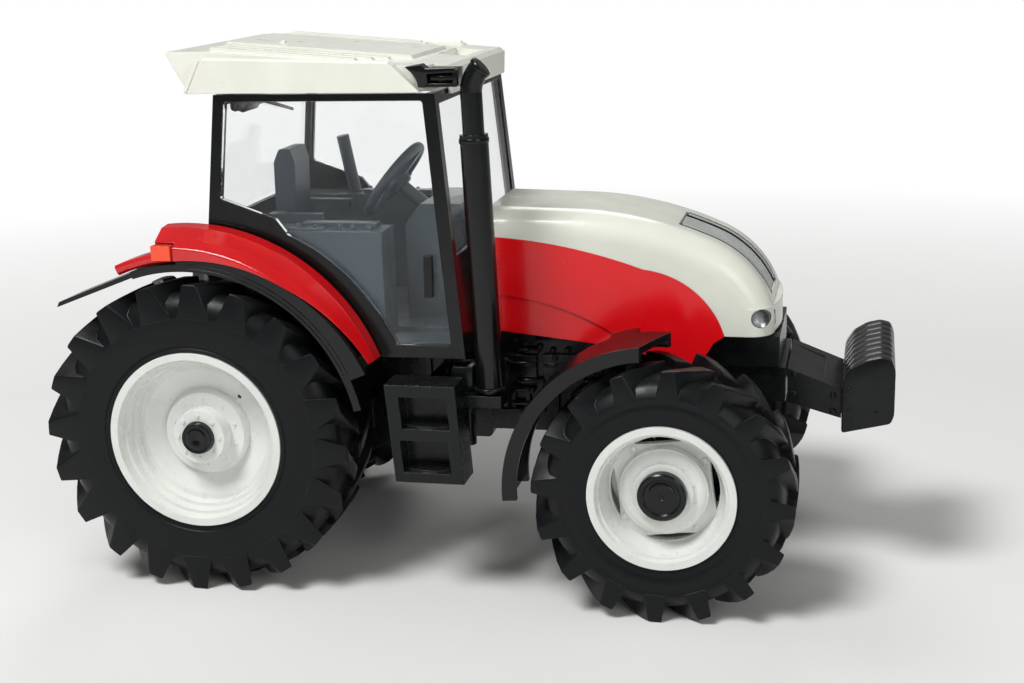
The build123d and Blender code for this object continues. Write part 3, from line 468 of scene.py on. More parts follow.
@dataclass(frozen=True)
class Paper(Finish):
    """Floor paper that turns even white away from the model where the camera looks at it."""

    colour: str = "#EFEFED"
    mottle_mm: float = 60  # width of a cloud in the paper
    mottle: float = 0.985  # its brightness
    fade: Flat = (0.16, 0.42)  # metres out where the floor starts and ends turning white

    def surface(self, tree: NodeTree) -> Node:
        """Build the surface's nodes."""
        tone = linear(self.colour)
        cloud = remap(tree, speckle(tree, self.mottle_mm), 0.3, 0.7, 0, 1)
        paper = add_node(tree, "BsdfDiffuse", {
            "Color": blend(tree, cloud, toned(tone, self.mottle), tone)})
        white = add_node(tree, "Emission", {"Color": (1, 1, 1, 1), "Strength": 1.0})
        coords = add_node(tree, "TexCoord")
        away = add_node(tree, "VectorMath", {0: coords.outputs["Object"]}, operation="LENGTH")
        far = remap(tree, away.outputs["Value"], *self.fade, 0.0, 1.0)
        return add_node(tree, "MixShader", {
            0: combine(tree, "MULTIPLY", far, seen(tree)), 1: paper.outputs[0],
            2: white.outputs[0]})


@dataclass(frozen=True)
class Studio:
    """Pale floor that keeps the shadow, soft lamps and a white surround."""

    floor: Paper = Paper("studio_paper")
    floor_size: float = 12.0  # metres
    surround: float = 0.18  # strength of the light from all round
    lamps: tuple[Lamp, ...] = (
        Lamp("key_lamp", (-0.25, -0.40, 0.74), 0.26, 5.5),
        Lamp("fill_lamp", (0.50, -0.55, 0.36), 0.40, 1.2),
        Lamp("back_lamp", (-0.10, 0.70, 0.65), 0.40, 2.0),
    )

    def make(self) -> None:
        """Create floor, lamps and surround."""
        for lamp in self.lamps:
            lamp.make()
        bm = bmesh.new()
        bmesh.ops.create_grid(bm, x_segments=1, y_segments=1, size=self.floor_size / 2)
        mesh = bpy.data.meshes.new("studio_floor")
        bm.to_mesh(mesh)
        bm.free()
        mesh.materials.append(self.floor.material())
        placed("studio_floor", mesh)
        self.world()

    def world(self) -> None:
        """Create the surround: white to the eye, and even light on the model."""
        world = bpy.data.worlds.new("soft_surround")
        bpy.context.scene.world = world
        world.use_nodes = True
        tree = world.node_tree
        tree.nodes.clear()
        strength = remap(tree, seen(tree), 0, 1, self.surround, 1.0)
        sky = add_node(tree, "Background", {"Color": (1, 1, 1, 1), "Strength": strength})
        add_node(tree, "OutputWorld", {"Surface": sky.outputs[0]})


# ---- making pieces ----
class Mould:
    """A mesh in the making, in millimetres, in the model's frame."""

    def __init__(self) -> None:
        """Start empty."""
        self.bm = bmesh.new()

    def rounded(self, geom: list, width: float, steps: int = 2, affect: str = "EDGES") -> dict:
        """Round some edges or corners, and return what the rounding made."""
        return bmesh.ops.bevel(self.bm, geom=geom, offset=width, segments=steps, profile=0.5,
                               affect=affect, material=-1)

    def block(self, low: Point, high: Point, soft: float, lean: Matrix | None = None) -> None:
        """Add a box with rounded edges.

        Args:
            low: Lowest corner.
            high: Highest corner.
            soft: Rounding of its edges.
            lean: Turn about its middle.
        """
        size = Vector(high) - Vector(low)
        middle = Matrix.Translation((Vector(low) + Vector(high)) / 2)
        place = middle @ (lean or Matrix.Identity(4)) @ Matrix.Diagonal((*size, 1))
        made = bmesh.ops.create_cube(self.bm, size=1, matrix=place)
        self.rounded(list({e for v in made["verts"] for e in v.link_edges}), soft)

    def stud(self, start: Point, end: Point, radius: float, soft: float = 0.0,
             end_radius: float | None = None, sides: int = 16) -> None:
        """Add a round stud, bar or cone between two points.

        Args:
            start: Middle of one end.
            end: Middle of the other end.
            radius: Radius at the start.
            soft: Rounding of the end rims.
            end_radius: Radius at the end, the same if not given.
            sides: Number of flat sides.
        """
        line = Vector(end) - Vector(start)
        place = Matrix.Translation((Vector(start) + Vector(end)) / 2)
        place @= line.to_track_quat("Z", "Y").to_matrix().to_4x4()
        made = bmesh.ops.create_cone(
            self.bm, cap_ends=True, segments=sides, radius1=radius,
            radius2=radius if end_radius is None else end_radius, depth=line.length, matrix=place)
        if soft:
            rims = {e for v in made["verts"] for e in v.link_edges
                    if any(len(f.verts) == sides for f in e.link_faces)}
            self.rounded(list(rims), soft)

    def plate(self, outline: Sequence[Flat], y_from: float, y_to: float, soft: float,
              corners: float = 0.0) -> None:
        """Add a slab with a side outline.

        Args:
            outline: Corners as x and z.
            y_from: One face.
            y_to: Other face.
            soft: Rounding of the slab's edges.
            corners: Rounding of the outline's corners.
        """
        face = self.bm.faces.new([self.bm.verts.new((x, y_from, z)) for x, z in outline])
        if corners:
            made = self.rounded(face.verts[:], corners, 4, "VERTICES")
            face = made["verts"][0].link_faces[0]
        raised = bmesh.ops.extrude_face_region(self.bm, geom=[face])["geom"]
        far = [v for v in raised if isinstance(v, BMVert)]
        bmesh.ops.translate(self.bm, vec=(0, y_to - y_from, 0), verts=far)
        if soft:
            flats = [face] + [f for f in raised if isinstance(f, BMFace)]
            self.rounded(list({e for f in flats for e in f.edges}), soft)

    def turned(self, profile: Sequence[Flat], centre: Point, steps: int = 64) -> None:
        """Add a form turned about the line along Y through a centre.

        Args:
            profile: Corners as radius and y from the centre; it may start and end on the axis.
            centre: Point on the axis.
            steps: Segments of the full turn.
        """
        middle = Vector(centre)
        verts = [self.bm.verts.new(middle + Vector((0, y, r))) for r, y in profile]
        pairs = list(zip(verts, verts[1:]))
        if profile[0][0] or profile[-1][0]:
            pairs.append((verts[-1], verts[0]))
        edges = [self.bm.edges.new(pair) for pair in pairs]
        bmesh.ops.spin(self.bm, geom=verts + edges, cent=middle, axis=(0, 1, 0), dvec=(0, 0, 0),
                       angle=2 * math.pi, steps=steps, use_merge=True, use_duplicate=False)
        on_axis = [v for v in self.bm.verts if Vector((v.co.x, v.co.z)) == middle.xz]
        bmesh.ops.remove_doubles(self.bm, verts=on_axis, dist=1e-5)

    def bowed(self, section: Sequence[Flat], centre: Flat, from_deg: float, to_deg: float,
              steps: int = 24) -> None:
        """Add a bar bent round a line along Y.

        Args:
            section: Corners as radius and y.
            centre: x and z of the line.
            from_deg: Angle of one end, up and back from +X.
            to_deg: Angle of the other end.
            steps: Segments along the bar.
        """
        a, middle = math.radians(from_deg), Vector((centre[0], 0, centre[1]))
        out = Vector((math.cos(a), 0, math.sin(a)))
        verts = [self.bm.verts.new(middle + out * r + Vector((0, y, 0))) for r, y in section]
        edges = [self.bm.edges.new(pair) for pair in zip(verts, verts[1:] + verts[:1])]
        made = bmesh.ops.spin(self.bm, geom=verts + edges, cent=middle, axis=(0, 1, 0),
                              dvec=(0, 0, 0), angle=math.radians(from_deg - to_deg), steps=steps,
                              use_merge=False, use_duplicate=False)
        last = [e for e in made["geom_last"] if isinstance(e, BMEdge)]
        bmesh.ops.holes_fill(self.bm, edges=edges + last, sides=len(section))

    def repeated(self, count: int) -> None:
        """Repeat the whole mesh round the Y axis.

        Args:
            count: How many there are in the full turn.
        """
        whole = self.bm.verts[:] + self.bm.edges[:] + self.bm.faces[:]
        bmesh.ops.spin(self.bm, geom=whole, cent=(0, 0, 0), axis=(0, 1, 0), dvec=(0, 0, 0),
                       angle=2 * math.pi * (count - 1) / count, steps=count - 1,
                       use_merge=False, use_duplicate=True)

    def flip(self) -> None:
        """Mirror the mesh to the other side of the model."""
        bmesh.ops.scale(self.bm, vec=(1, -1, 1), verts=self.bm.verts)
        bmesh.ops.reverse_faces(self.bm, faces=self.bm.faces)

    def add(self, other: "Mould") -> None:
        """Take in another mould's mesh, which is freed."""
        spare = bpy.data.meshes.new("spare")
        other.bm.to_mesh(spare)
        other.bm.free()
        self.bm.from_mesh(spare)
        bpy.data.meshes.remove(spare)

    def both_sides(self) -> None:
        """Add the mirror image of the whole mesh."""
        whole = self.bm.verts[:] + self.bm.edges[:] + self.bm.faces[:]
        copy = bmesh.ops.duplicate(self.bm, geom=whole)["geom"]
        verts = [v for v in copy if isinstance(v, BMVert)]
        bmesh.ops.scale(self.bm, vec=(1, -1, 1), verts=verts)

    def piece(self, name: str, slot: str, body: str = "chassis") -> Object:
        """Turn the mould into a piece that rides on a body.

        Args:
            name: Name of the piece.
            slot: The record's material slot, which also gives the finish.
            body: CAD body that carries it.

        Returns:
            The piece.
        """
        bmesh.ops.scale(self.bm, vec=(MM, MM, MM), verts=self.bm.verts)
        bmesh.ops.recalc_face_normals(self.bm, faces=self.bm.faces)
        for face in self.bm.faces:
            face.smooth = True
        for edge in self.bm.edges:
            edge.smooth = len(edge.link_faces) == 2 and edge.calc_face_angle(0) < SHARP
        mesh = bpy.data.meshes.new(name)
        self.bm.to_mesh(mesh)
        self.bm.free()
        mesh.materials.append(MATERIALS[slot])
        made = placed(name, mesh)
        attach(made, body)
        log.info("made %s on %s: %d faces", name, body, len(mesh.polygons))
        return made


# ---- wheels ----
@dataclass(frozen=True)
class Tyre:
    """Soft tractor tyre: flat side wall, pocketed shoulder and two rows of slanting lugs."""

    radius: float
    width: float
    wall: Outline  # radius and depth from the side face, from the bead to the middle
    lugs: int
    low: float  # radius at the foot of the lugs
    # for each row across a lug, from the tread's middle: share of the half width, rear and
    # front edge of its top, and how far its foot reaches beyond them, mm round the tread
    rows: tuple[tuple[float, float, float, float, float], ...]
    soft: float = 0.26  # rounding of a lug's edges
    steps: int = 120  # segments of the full turn

    def lug(self) -> Mould:
        """Build one lug of the left shoulder at the top of the tyre, in a mould of its own."""
        mould = Mould()
        bm, half = mould.bm, self.width / 2
        foot = [[bm.verts.new((x, share * half, self.low)) for x in (back - more_b, front + more_f)]
                for share, back, front, more_b, more_f in self.rows]
        floor = [bm.faces.new((a[0], a[1], b[1], b[0])) for a, b in zip(foot, foot[1:])]
        raised = bmesh.ops.extrude_face_region(bm, geom=floor)["geom"]
        top = [v for v in raised if isinstance(v, BMVert)]
        for vert in top:
            _, back, front, more_b, more_f = min(
                self.rows, key=lambda row: abs(row[0] * half - vert.co.y))
            at_back = abs(vert.co.x - back + more_b) < abs(vert.co.x - front - more_f)
            vert.co.x = back if at_back else front
            vert.co.z = self.radius
        lids = [f for f in raised if isinstance(f, BMFace)]
        rims = [e for e in {e for f in lids for e in f.edges}
                if sum(f in lids for f in e.link_faces) == 1]
        outer = [v for v in top if v.co.y > 0.9 * half]
        posts = [e for v in outer for e in v.link_edges if e.other_vert(v) not in top]
        mould.rounded(rims + posts, self.soft, 3)
        for vert in bm.verts:
            turn = vert.co.x / self.radius
            vert.co = Vector((vert.co.z * math.sin(turn), vert.co.y, vert.co.z * math.cos(turn)))
        return mould

    def build(self) -> Mould:
        """Build a left tyre about the origin, in a mould of its own."""
        mould, half = Mould(), self.width / 2
        left = [(r, half - depth) for r, depth in self.wall]
        mould.turned(left + [(r, -y) for r, y in reversed(left)], (0, 0, 0), self.steps)
        pitch = 2 * math.pi / self.lugs
        for row in (0, 1):
            one = self.lug()
            if row:
                one.flip()
            start = math.pi - math.asin(self.rows[0][2] / self.radius) + row * pitch / 2
            bmesh.ops.rotate(one.bm, cent=(0, 0, 0), matrix=Matrix.Rotation(start, 3, "Y"),
                             verts=one.bm.verts)
            one.repeated(self.lugs)
            mould.add(one)
        return mould


@dataclass(frozen=True)
class Wheel:
    """One axle's pair of wheels: tyres, hub caps, wheel nuts and small marks on the rims."""

    end: str
    axle: Flat  # x and z of the axle
    out: float  # y of the wheel's middle plane
    tyre: Tyre
    cap: Outline  # profile of the hub cap
    ring: Outline  # profile of the rounded ring round the hub
    nuts: tuple[tuple[int, float, float, float], ...]  # count, circle's radius, seat's y, size
    bumps: Outline  # radius and seat's y of the bumps between the windows
    valve: Flat | None  # radius and y of the valve hole
    cap_node: str = ""  # CAD hub cap that the turned one stands for
    sunk: float = 0.3  # how deep nuts and bumps stand in the rim
    nut_rise: float = 0.22
    nut_taper: float = 0.8  # top of a nut as a share of its size
    bump_radius: float = 0.62
    bump_rise: float = 0.35
    bump_angle: float = 38.0  # degrees up from +X of the first of four
    slant: float = 0.71  # share of the valve hole's radius along X and along Z
    # both ends of the valve's stem: x and z as shares of that radius, y below the hole's
    stem: tuple[Point, Point] = ((0.64, 0.5, 0.6), (0.71, 0.15, 0.68))

    def make(self, side: Side) -> None:
        """Build the new pieces of the wheel on one side of the tractor."""
        word = side.word
        cap = Mould()
        cap.turned(self.cap, (0, 0, 0), 64)
        pieces = [("tyre_moulded", self.tyre.build(), "tyre_rubber", f"{self.end}_tyre_{word}"),
                  ("hub_badge", cap, "black_gloss", self.cap_node and f"{self.cap_node}_{word}"),
                  ("rim_marks", self.marks(), "rim_white", "")]
        if self.valve:
            # dark stud in the valve hole, as painted shade of the hole
            hole, y, at = Mould(), self.valve[1], self.valve[0] * self.slant
            hole.stud((at, y - 0.6, at), (at, y, at), 0.36, sides=20)
            pieces.append(("valve_hole_shade", hole, "black_plastic", ""))
        place = (self.axle[0], side.value * self.out, self.axle[1])
        for kind, mould, slot, replaced in pieces:
            if side is Side.RIGHT:
                mould.flip()
            bmesh.ops.translate(mould.bm, vec=place, verts=mould.bm.verts)
            piece = mould.piece(f"{self.end}_{kind}_{word}", slot, f"{self.end}_wheel_{word}")
            if replaced:
                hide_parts(replaced)

    def marks(self) -> Mould:
        """Build the hub ring, nuts, bumps and valve stem on the rim's face in one mould."""
        mould = Mould()
        if self.ring:
            mould.turned(self.ring, (0, 0, 0), 64)
        for count, radius, y, size in self.nuts:
            nut = Mould()
            nut.stud((0, y - self.sunk, radius), (0, y + self.nut_rise, radius), size, 0,
                     size * self.nut_taper, 6)
            nut.repeated(count)
            mould.add(nut)
        angle = math.radians(self.bump_angle)
        for radius, y in self.bumps:
            x, z = radius * math.cos(angle), radius * math.sin(angle)
            bump = Mould()
            bump.stud((x, y - self.sunk, z), (x, y + self.bump_rise, z), self.bump_radius, 0.3)
            bump.repeated(4)
            mould.add(bump)
        if self.valve:
            radius, y = self.valve
            ends = [(radius * a, y - drop, radius * b) for a, drop, b in self.stem]
            mould.stud(*ends, 0.3, 0.1, 0.42, 12)
        return mould


REAR_TYRE = Tyre(27.4, 14.6, (
    (14.7, 0.9), (15.62, 0.86), (15.64, 0.22), (15.8, 0.08), (16.2, 0.03), (16.34, 0.2),
    (16.52, 0.2), (16.66, 0.02), (17.6, 0.0), (19.4, 0.0), (21.5, 0.03), (22.2, 0.14),
    (23.2, 0.5), (24.2, 1.05), (25.0, 1.8), (25.55, 2.8), (25.85, 4.4), (25.95, 7.0)), 20, 21.6, (
    (0.02, 1.9, 4.5, 0.5, 0.5), (0.26, 0.6, 3.25, 0.6, 0.6), (0.5, -0.7, 1.95, 0.9, 1.0),
    (0.76, -2.4, 0.1, 1.4, 2.2), (0.999, -4.3, -1.75, 1.7, 3.2)))

FRONT_TYRE = Tyre(21.4, 13.6, (
    (11.35, 0.9), (12.27, 0.86), (12.29, 0.5), (12.5, 0.38), (13.2, 0.42), (13.9, 0.2),
    (14.5, 0.03), (15.1, 0.02), (15.6, 0.14), (16.1, 0.24), (16.5, 0.12), (16.85, 0.06),
    (17.1, 0.14), (18.5, 1.0),
    (19.1, 1.7), (19.5, 2.9), (19.75, 4.4), (19.85, 6.5)), 16, 16.7, (
    (0.02, 1.8, 4.3, 0.5, 0.5), (0.26, 0.5, 3.05, 0.6, 0.6), (0.5, -0.8, 1.65, 0.7, 0.7),
    (0.76, -2.5, -0.2, 0.9, 0.9), (0.992, -4.1, -1.95, 1.2, 1.5)))

REAR_WHEEL = Wheel(
    "rear", (-42.4, 27.4), 26.3, REAR_TYRE,
    ((0, 6.44), (0.5, 6.44), (0.72, 6.58), (1.6, 6.62), (1.85, 6.46), (2.3, 6.46), (2.45, 6.56),
     (2.65, 6.5), (2.74, 6.3), (2.74, 6.1), (0, 6.1)),
    (), ((8, 3.75, 5.4, 0.42), (10, 5.85, 2.6, 0.36)), (), (9.25, 1.8))
FRONT_WHEEL = Wheel(
    "front", (38.0, 21.4), 28.4, FRONT_TYRE,
    ((0, 5.75), (0.35, 5.75), (0.5, 5.9), (2.2, 5.95), (2.5, 5.75), (2.9, 5.75), (3.15, 6.02),
     (3.75, 6.05), (4.0, 5.85), (4.05, 5.6), (4.05, 4.42), (0, 4.42)),
    ((4.5, 2.7), (4.5, 3.3), (4.7, 3.48), (5.4, 3.55), (6.2, 3.5), (6.8, 3.3), (7.1, 2.95),
     (7.1, 2.7)),
    ((10, 5.15, 3.5, 0.3),), ((8.35, 1.4),), None, "front_hub_cap")


# ---- front end ----
def tangent_arc(start: Vector, heading: Vector, end: Vector) -> tuple[Vector, float, Vector]:
    """Find the falling arc that leaves a point in a direction and meets another point.

    Args:
        start: First point, x and z.
        heading: Direction at the start, of length one.
        end: Last point.

    Returns:
        Centre, radius, and direction at the end.
    """
    inward = Vector((heading.y, -heading.x))
    chord = end - start
    radius = chord.length_squared / (2 * chord.dot(inward))
    centre = start + inward * radius
    spoke = (end - centre) / radius
    return centre, radius, Vector((spoke.y, -spoke.x))


@dataclass(frozen=True)
class Nose:
    """Dark strips that paint the shade in the grille's grooves, slats of the grille, lamp
    reflectors, and dark plates that paint the shade in the slots of the nose.
    """

    # the bonnet's top line from the cab forwards: rear, crown, brow and tip
    line: Outline = ((5.21, 64.4), (19.65, 64.0), (43.996, 58.5), (53.705, 48.4))
    strip_start_x: float = 37.9
    strip_end_z: float = 49.1
    # dark strips that paint the shade in the grooves: y limits, and depth limits below the bonnet's
    # skin
    grooves: tuple[Four, ...] = (
        (5.5, 6.3, 0.03, 0.36), (3.86, 4.28, 0.1, 0.36))
    slats: tuple[float, ...] = (-2.8, -1.4, 0.0, 1.4, 2.8)  # y of each
    slat_half: float = 0.28
    slat_depths: Flat = (0.2, 0.4)
    # dark plate that paints the shade in a slot of the nose: x and z of its corners, then its y
    # limits
    slot: Outline = ((53.8, 44.5), (54.33, 44.5), (54.25, 46.9), (53.7, 46.9))
    slot_y: Flat = (8.6, 9.3)
    lamp: Point = (52.1, 0.0, 46.1)
    dish: Outline = (  # radius and y of the reflector
        (0, 12.15), (0.6, 12.2), (1.1, 12.4), (1.45, 12.8), (1.45, 12.0), (0, 12.0))

    def strip(self, mould: Mould, y_from: float, y_to: float, deep_from: float,
              deep_to: float) -> None:
        """Add one strip that follows the nose from above to its lower end.

        Args:
            mould: Mould that gets it.
            y_from: One side.
            y_to: Other side.
            deep_from: Depth of its face below the bonnet's skin.
            deep_to: Depth of its back.
        """
        def section(radius: float) -> list[Flat]:
            """Give the strip's corners as radius and y."""
            return [(radius - deep_from, y_from), (radius - deep_from, y_to),
                    (radius - deep_to, y_to), (radius - deep_to, y_from)]

        rear, crown, brow, tip = (Vector(p) for p in self.line)
        centre, radius, heading = tangent_arc(crown, (crown - rear).normalized(), brow)
        first = math.degrees(math.acos((self.strip_start_x - centre.x) / radius))
        meet = math.degrees(math.atan2(*(brow - centre).yx))
        mould.bowed(section(radius), centre, first, meet)
        centre, radius, _ = tangent_arc(brow, heading, tip)
        last = math.degrees(math.asin((self.strip_end_z - centre.y) / radius))
        mould.bowed(section(radius), centre, meet, last)

    def make(self) -> None:
        """Build the nose's pieces."""
        dark, pale, slots, dishes = (Mould() for _ in range(4))
        # dark strips in the grooves, as painted shade
        for groove in self.grooves:
            self.strip(dark, *groove)
        dark.both_sides()
        dark.piece("grille_groove_shade", "black_plastic")
        for y in self.slats:
            self.strip(pale, y - self.slat_half, y + self.slat_half, *self.slat_depths)
        pale.piece("grille_slats", "grille_grey")
        # dark plates in the nose's slots, as painted shade
        slots.plate(self.slot, *self.slot_y, 0.05)
        slots.both_sides()
        slots.piece("nose_slot_shades", "black_plastic")
        dishes.turned(self.dish, self.lamp, 40)
        dishes.both_sides()
        dishes.piece("headlamp_dishes", "steel")


@dataclass(frozen=True)
class FrontWeights:
    """Row of slab weights with crowned tops, and the bolts of their carrier."""

    slabs: int = 8
    half: float = 13.6  # half of the row's width
    gap: float = 0.12  # between two slabs
    outline: Outline = (
        (65.75, 26.85), (73.8, 28.75), (74.35, 30.2), (74.38, 37.9), (73.7, 39.7), (71.9, 40.15),
        (69.6, 39.6), (67.3, 38.2), (65.9, 36.0), (65.65, 34.0))
    core: Flat = (68.0, 34.0)  # middle of the core that closes the gaps from inside
    core_share: Flat = (0.72, 0.84)  # its size as a share of the outline's
    carrier_bolts: Outline = ((57.6, 36.0), (57.6, 32.6), (64.2, 32.4), (64.2, 29.6))
    slab_bolts: Outline = ((67.0, 31.0), (67.0, 34.6), (71.4, 30.6))

    def make(self) -> None:
        """Build the slabs and bolts."""
        mould = Mould()
        step = 2 * self.half / self.slabs
        for n in range(self.slabs):
            start = -self.half + n * step + (self.gap / 2 if n else 0)
            end = -self.half + (n + 1) * step - (self.gap / 2 if n < self.slabs - 1 else 0)
            mould.plate(self.outline, start, end, 0.14, 0.5)
        (x0, z0), (long, tall) = self.core, self.core_share
        inside = [(x0 + long * (x - x0), z0 + tall * (z - z0)) for x, z in self.outline]
        mould.plate(inside, -self.half + 0.4, self.half - 0.4, 0.0)
        piece = mould.piece("front_weight_slabs", "black_plastic")
        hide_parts("front_weights")
        bolts = Mould()
        for x, z in self.carrier_bolts:
            bolts.stud((x, 9.6, z), (x, 10.45, z), 0.62, 0.08, 0.55, 6)
        for x, z in self.slab_bolts:
            bolts.stud((x, self.half - 0.2, z), (x, self.half + 0.22, z), 0.42, 0.08, 0.36)
        bolts.both_sides()
        bolts.piece("front_end_bolts", "black_plastic")


# ---- engine and steps ----
@dataclass(frozen=True)
class EngineSides:
    """Pipes, bolt rows and small covers on both sides of the engine and the gearbox."""

    face: float = 10.55  # y of the covers' outer faces
    # x from, x to and z of each moulded pipe
    pipes: tuple[Point, ...] = (
        (8.6, 12.9, 36.4), (14.4, 17.6, 36.3), (9.1, 13.7, 33.3), (9.1, 11.9, 31.7),
        (9.6, 13.5, 38.8), (15.2, 18.6, 34.4), (20.4, 24.6, 35.2),
        (5.6, 10.2, 27.9), (8.4, 12.0, 29.2))
    studs: Outline = (
        (8.2, 36.7), (9.1, 40.5), (10.8, 40.0), (13.5, 39.5), (15.8, 38.9), (16.3, 37.6),
        (18.5, 39.0), (17.6, 36.3), (13.9, 33.4), (12.1, 31.7), (20.9, 38.2), (22.6, 40.6),
        (25.2, 40.8), (5.6, 40.9))
    cooler: Bar = ((7.2, 10.1, 28.4), (7.2, 10.1, 37.6), 0.95, 0.3)
    covers: tuple[Box, ...] = (
        ((12.6, 9.3, 40.6), (24.4, 10.1, 41.5), 0.2), ((20.6, 9.2, 29.0), (26.6, 10.4, 33.6), 0.35),
        ((21.6, 10.2, 30.0), (25.6, 10.7, 32.6), 0.2))
    gear_half: float = 9.2  # half of the gearbox's width
    bolts_x: tuple[float, ...] = tuple(-27.4 + 5.85 * n for n in range(5))
    bolts_z: Flat = (25.0, 36.0)
    filters: tuple[Bar, ...] = (
        ((3.4, 22.0, 25.0), (3.4, 22.0, 33.0), 1.15, 0.3),
        ((3.4, 22.0, 31.2), (3.4, 22.0, 32.0), 1.7, 0.2),
        ((-0.6, 18.2, 35.4), (-0.6, 18.2, 40.0), 1.0, 0.25))
    filter_case: Box = ((1.0, 19.4, 34.9), (5.0, 24.6, 39.6), 0.7)

    def make(self) -> None:
        """Build the pieces of both sides."""
        mould, y = Mould(), self.face
        for start, end, z in self.pipes:
            mould.stud((start, y - 0.25, z), (end, y - 0.25, z), 0.52, 0.2)
        for x, z in self.studs:
            inner = 9.4 if z > 38.6 or x < 6 else y - 0.3  # off the covers the block is deeper
            mould.stud((x, inner, z), (x, inner + 1.0, z), 0.6, 0.15, 0.5)
        mould.stud(*self.cooler)
        for cover in self.covers:
            mould.block(*cover)
        mould.both_sides()
        mould.piece("engine_side_fittings", "black_plastic")
        gear = Mould()
        for x in self.bolts_x:
            for z in self.bolts_z:
                gear.stud((x, self.gear_half - 1, z), (x, self.gear_half - 0.1, z), 0.5, 0, 0.45, 6)
        for part in self.filters:
            gear.stud(*part)
        gear.block(*self.filter_case)
        gear.both_sides()
        gear.piece("gearbox_fittings", "black_plastic")


@dataclass(frozen=True)
class StepTreads:
    """Non-slip ridges on the treads of the steps."""

    heights: tuple[float, ...] = (30.4, 22.8)  # z of the ridges on each tread
    across: tuple[float, ...] = (30.2, 31.2, 32.2)  # y of the ridges
    ends: Flat = (-5.1, 2.7)  # x

    def make(self) -> None:
        """Build the ridges of both sides."""
        mould, (rear, front) = Mould(), self.ends
        for z in self.heights:
            for y in self.across:
                mould.stud((rear, y, z), (front, y, z), 0.22, sides=10)
        mould.both_sides()
        mould.piece("step_ridges", "black_plastic")


@dataclass(frozen=True)
class Stack:
    """Exhaust stack's rings and mouth, and the claw that ties it to the roof."""

    foot: Point = (7.81, -24.0, 35.3)
    joint: Point = (6.41, -24.0, 78.0)
    mouth: Point = (8.11, -24.0, 89.5)
    mouth_slope: float = 42.0  # degrees up from +X of the mouth's own axis
    rings: tuple[Point, ...] = ((0.2, 2.9, 0.7), (41.9, 2.5, 0.9))  # way up, radius and height
    # the claw: outline, both y and rounding of its hook, its foot and its back
    claw_plates: tuple[tuple[Outline, float, float, float], ...] = (
        (((-2.25, 86.3), (-2.6, 87.6), (-3.3, 88.6), (-4.4, 89.6), (-1.9, 90.0), (-1.0, 89.3),
          (4.0, 89.4), (4.1, 88.7), (-0.75, 88.4), (-0.6, 87.0), (-1.2, 86.3)),
         -25.35, -22.4, 0.18),
        (((-0.9, 86.35), (4.1, 86.35), (4.1, 86.95), (-0.7, 86.95)), -25.35, -20.5, 0.15),
        (((-0.9, 86.3), (4.1, 86.3), (4.1, 89.3), (-0.9, 89.3)), -23.6, -20.5, 0.15))
    claw_bars: tuple[Bar, ...] = (
        ((-0.4, -24.35, 87.75), (3.7, -24.35, 87.75), 0.62, 0.25),
        ((1.0, -24.3, 87.7), (2.2, -24.3, 87.7), 0.74, 0.2))
    claw_end: Box = ((3.5, -25.3, 86.5), (4.3, -22.6, 89.2), 0.2)

    def make(self) -> None:
        """Build rings, mouth and claw."""
        mould, mouth_shade, claw = Mould(), Mould(), Mould()
        line = (Vector(self.joint) - Vector(self.foot)).normalized()
        for distance, radius, height in self.rings:
            start = Vector(self.foot) + line * distance
            mould.stud(start, start + line * height, radius, 0.2, sides=40)
        slope, end = math.radians(self.mouth_slope), Vector(self.mouth)
        axis = Vector((math.cos(slope), 0, math.sin(slope)))
        mould.stud(end - axis * 0.75, end + axis * 0.12, 1.98, 0.22, 1.9, 40)
        mould.piece("stack_rings", "black_gloss")
        # dark disc on the mouth that paints the shade inside the hollow pipe
        mouth_shade.stud(end + axis * 0.02, end + axis * 0.15, 1.45, sides=32)
        mouth_shade.piece("stack_mouth_shade", "black_plastic")
        for plate in self.claw_plates:
            claw.plate(*plate)
        for bar in self.claw_bars:
            claw.stud(*bar)
        claw.block(*self.claw_end)
        piece = claw.piece("stack_claw", "black_gloss")
        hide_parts("exhaust_bracket")


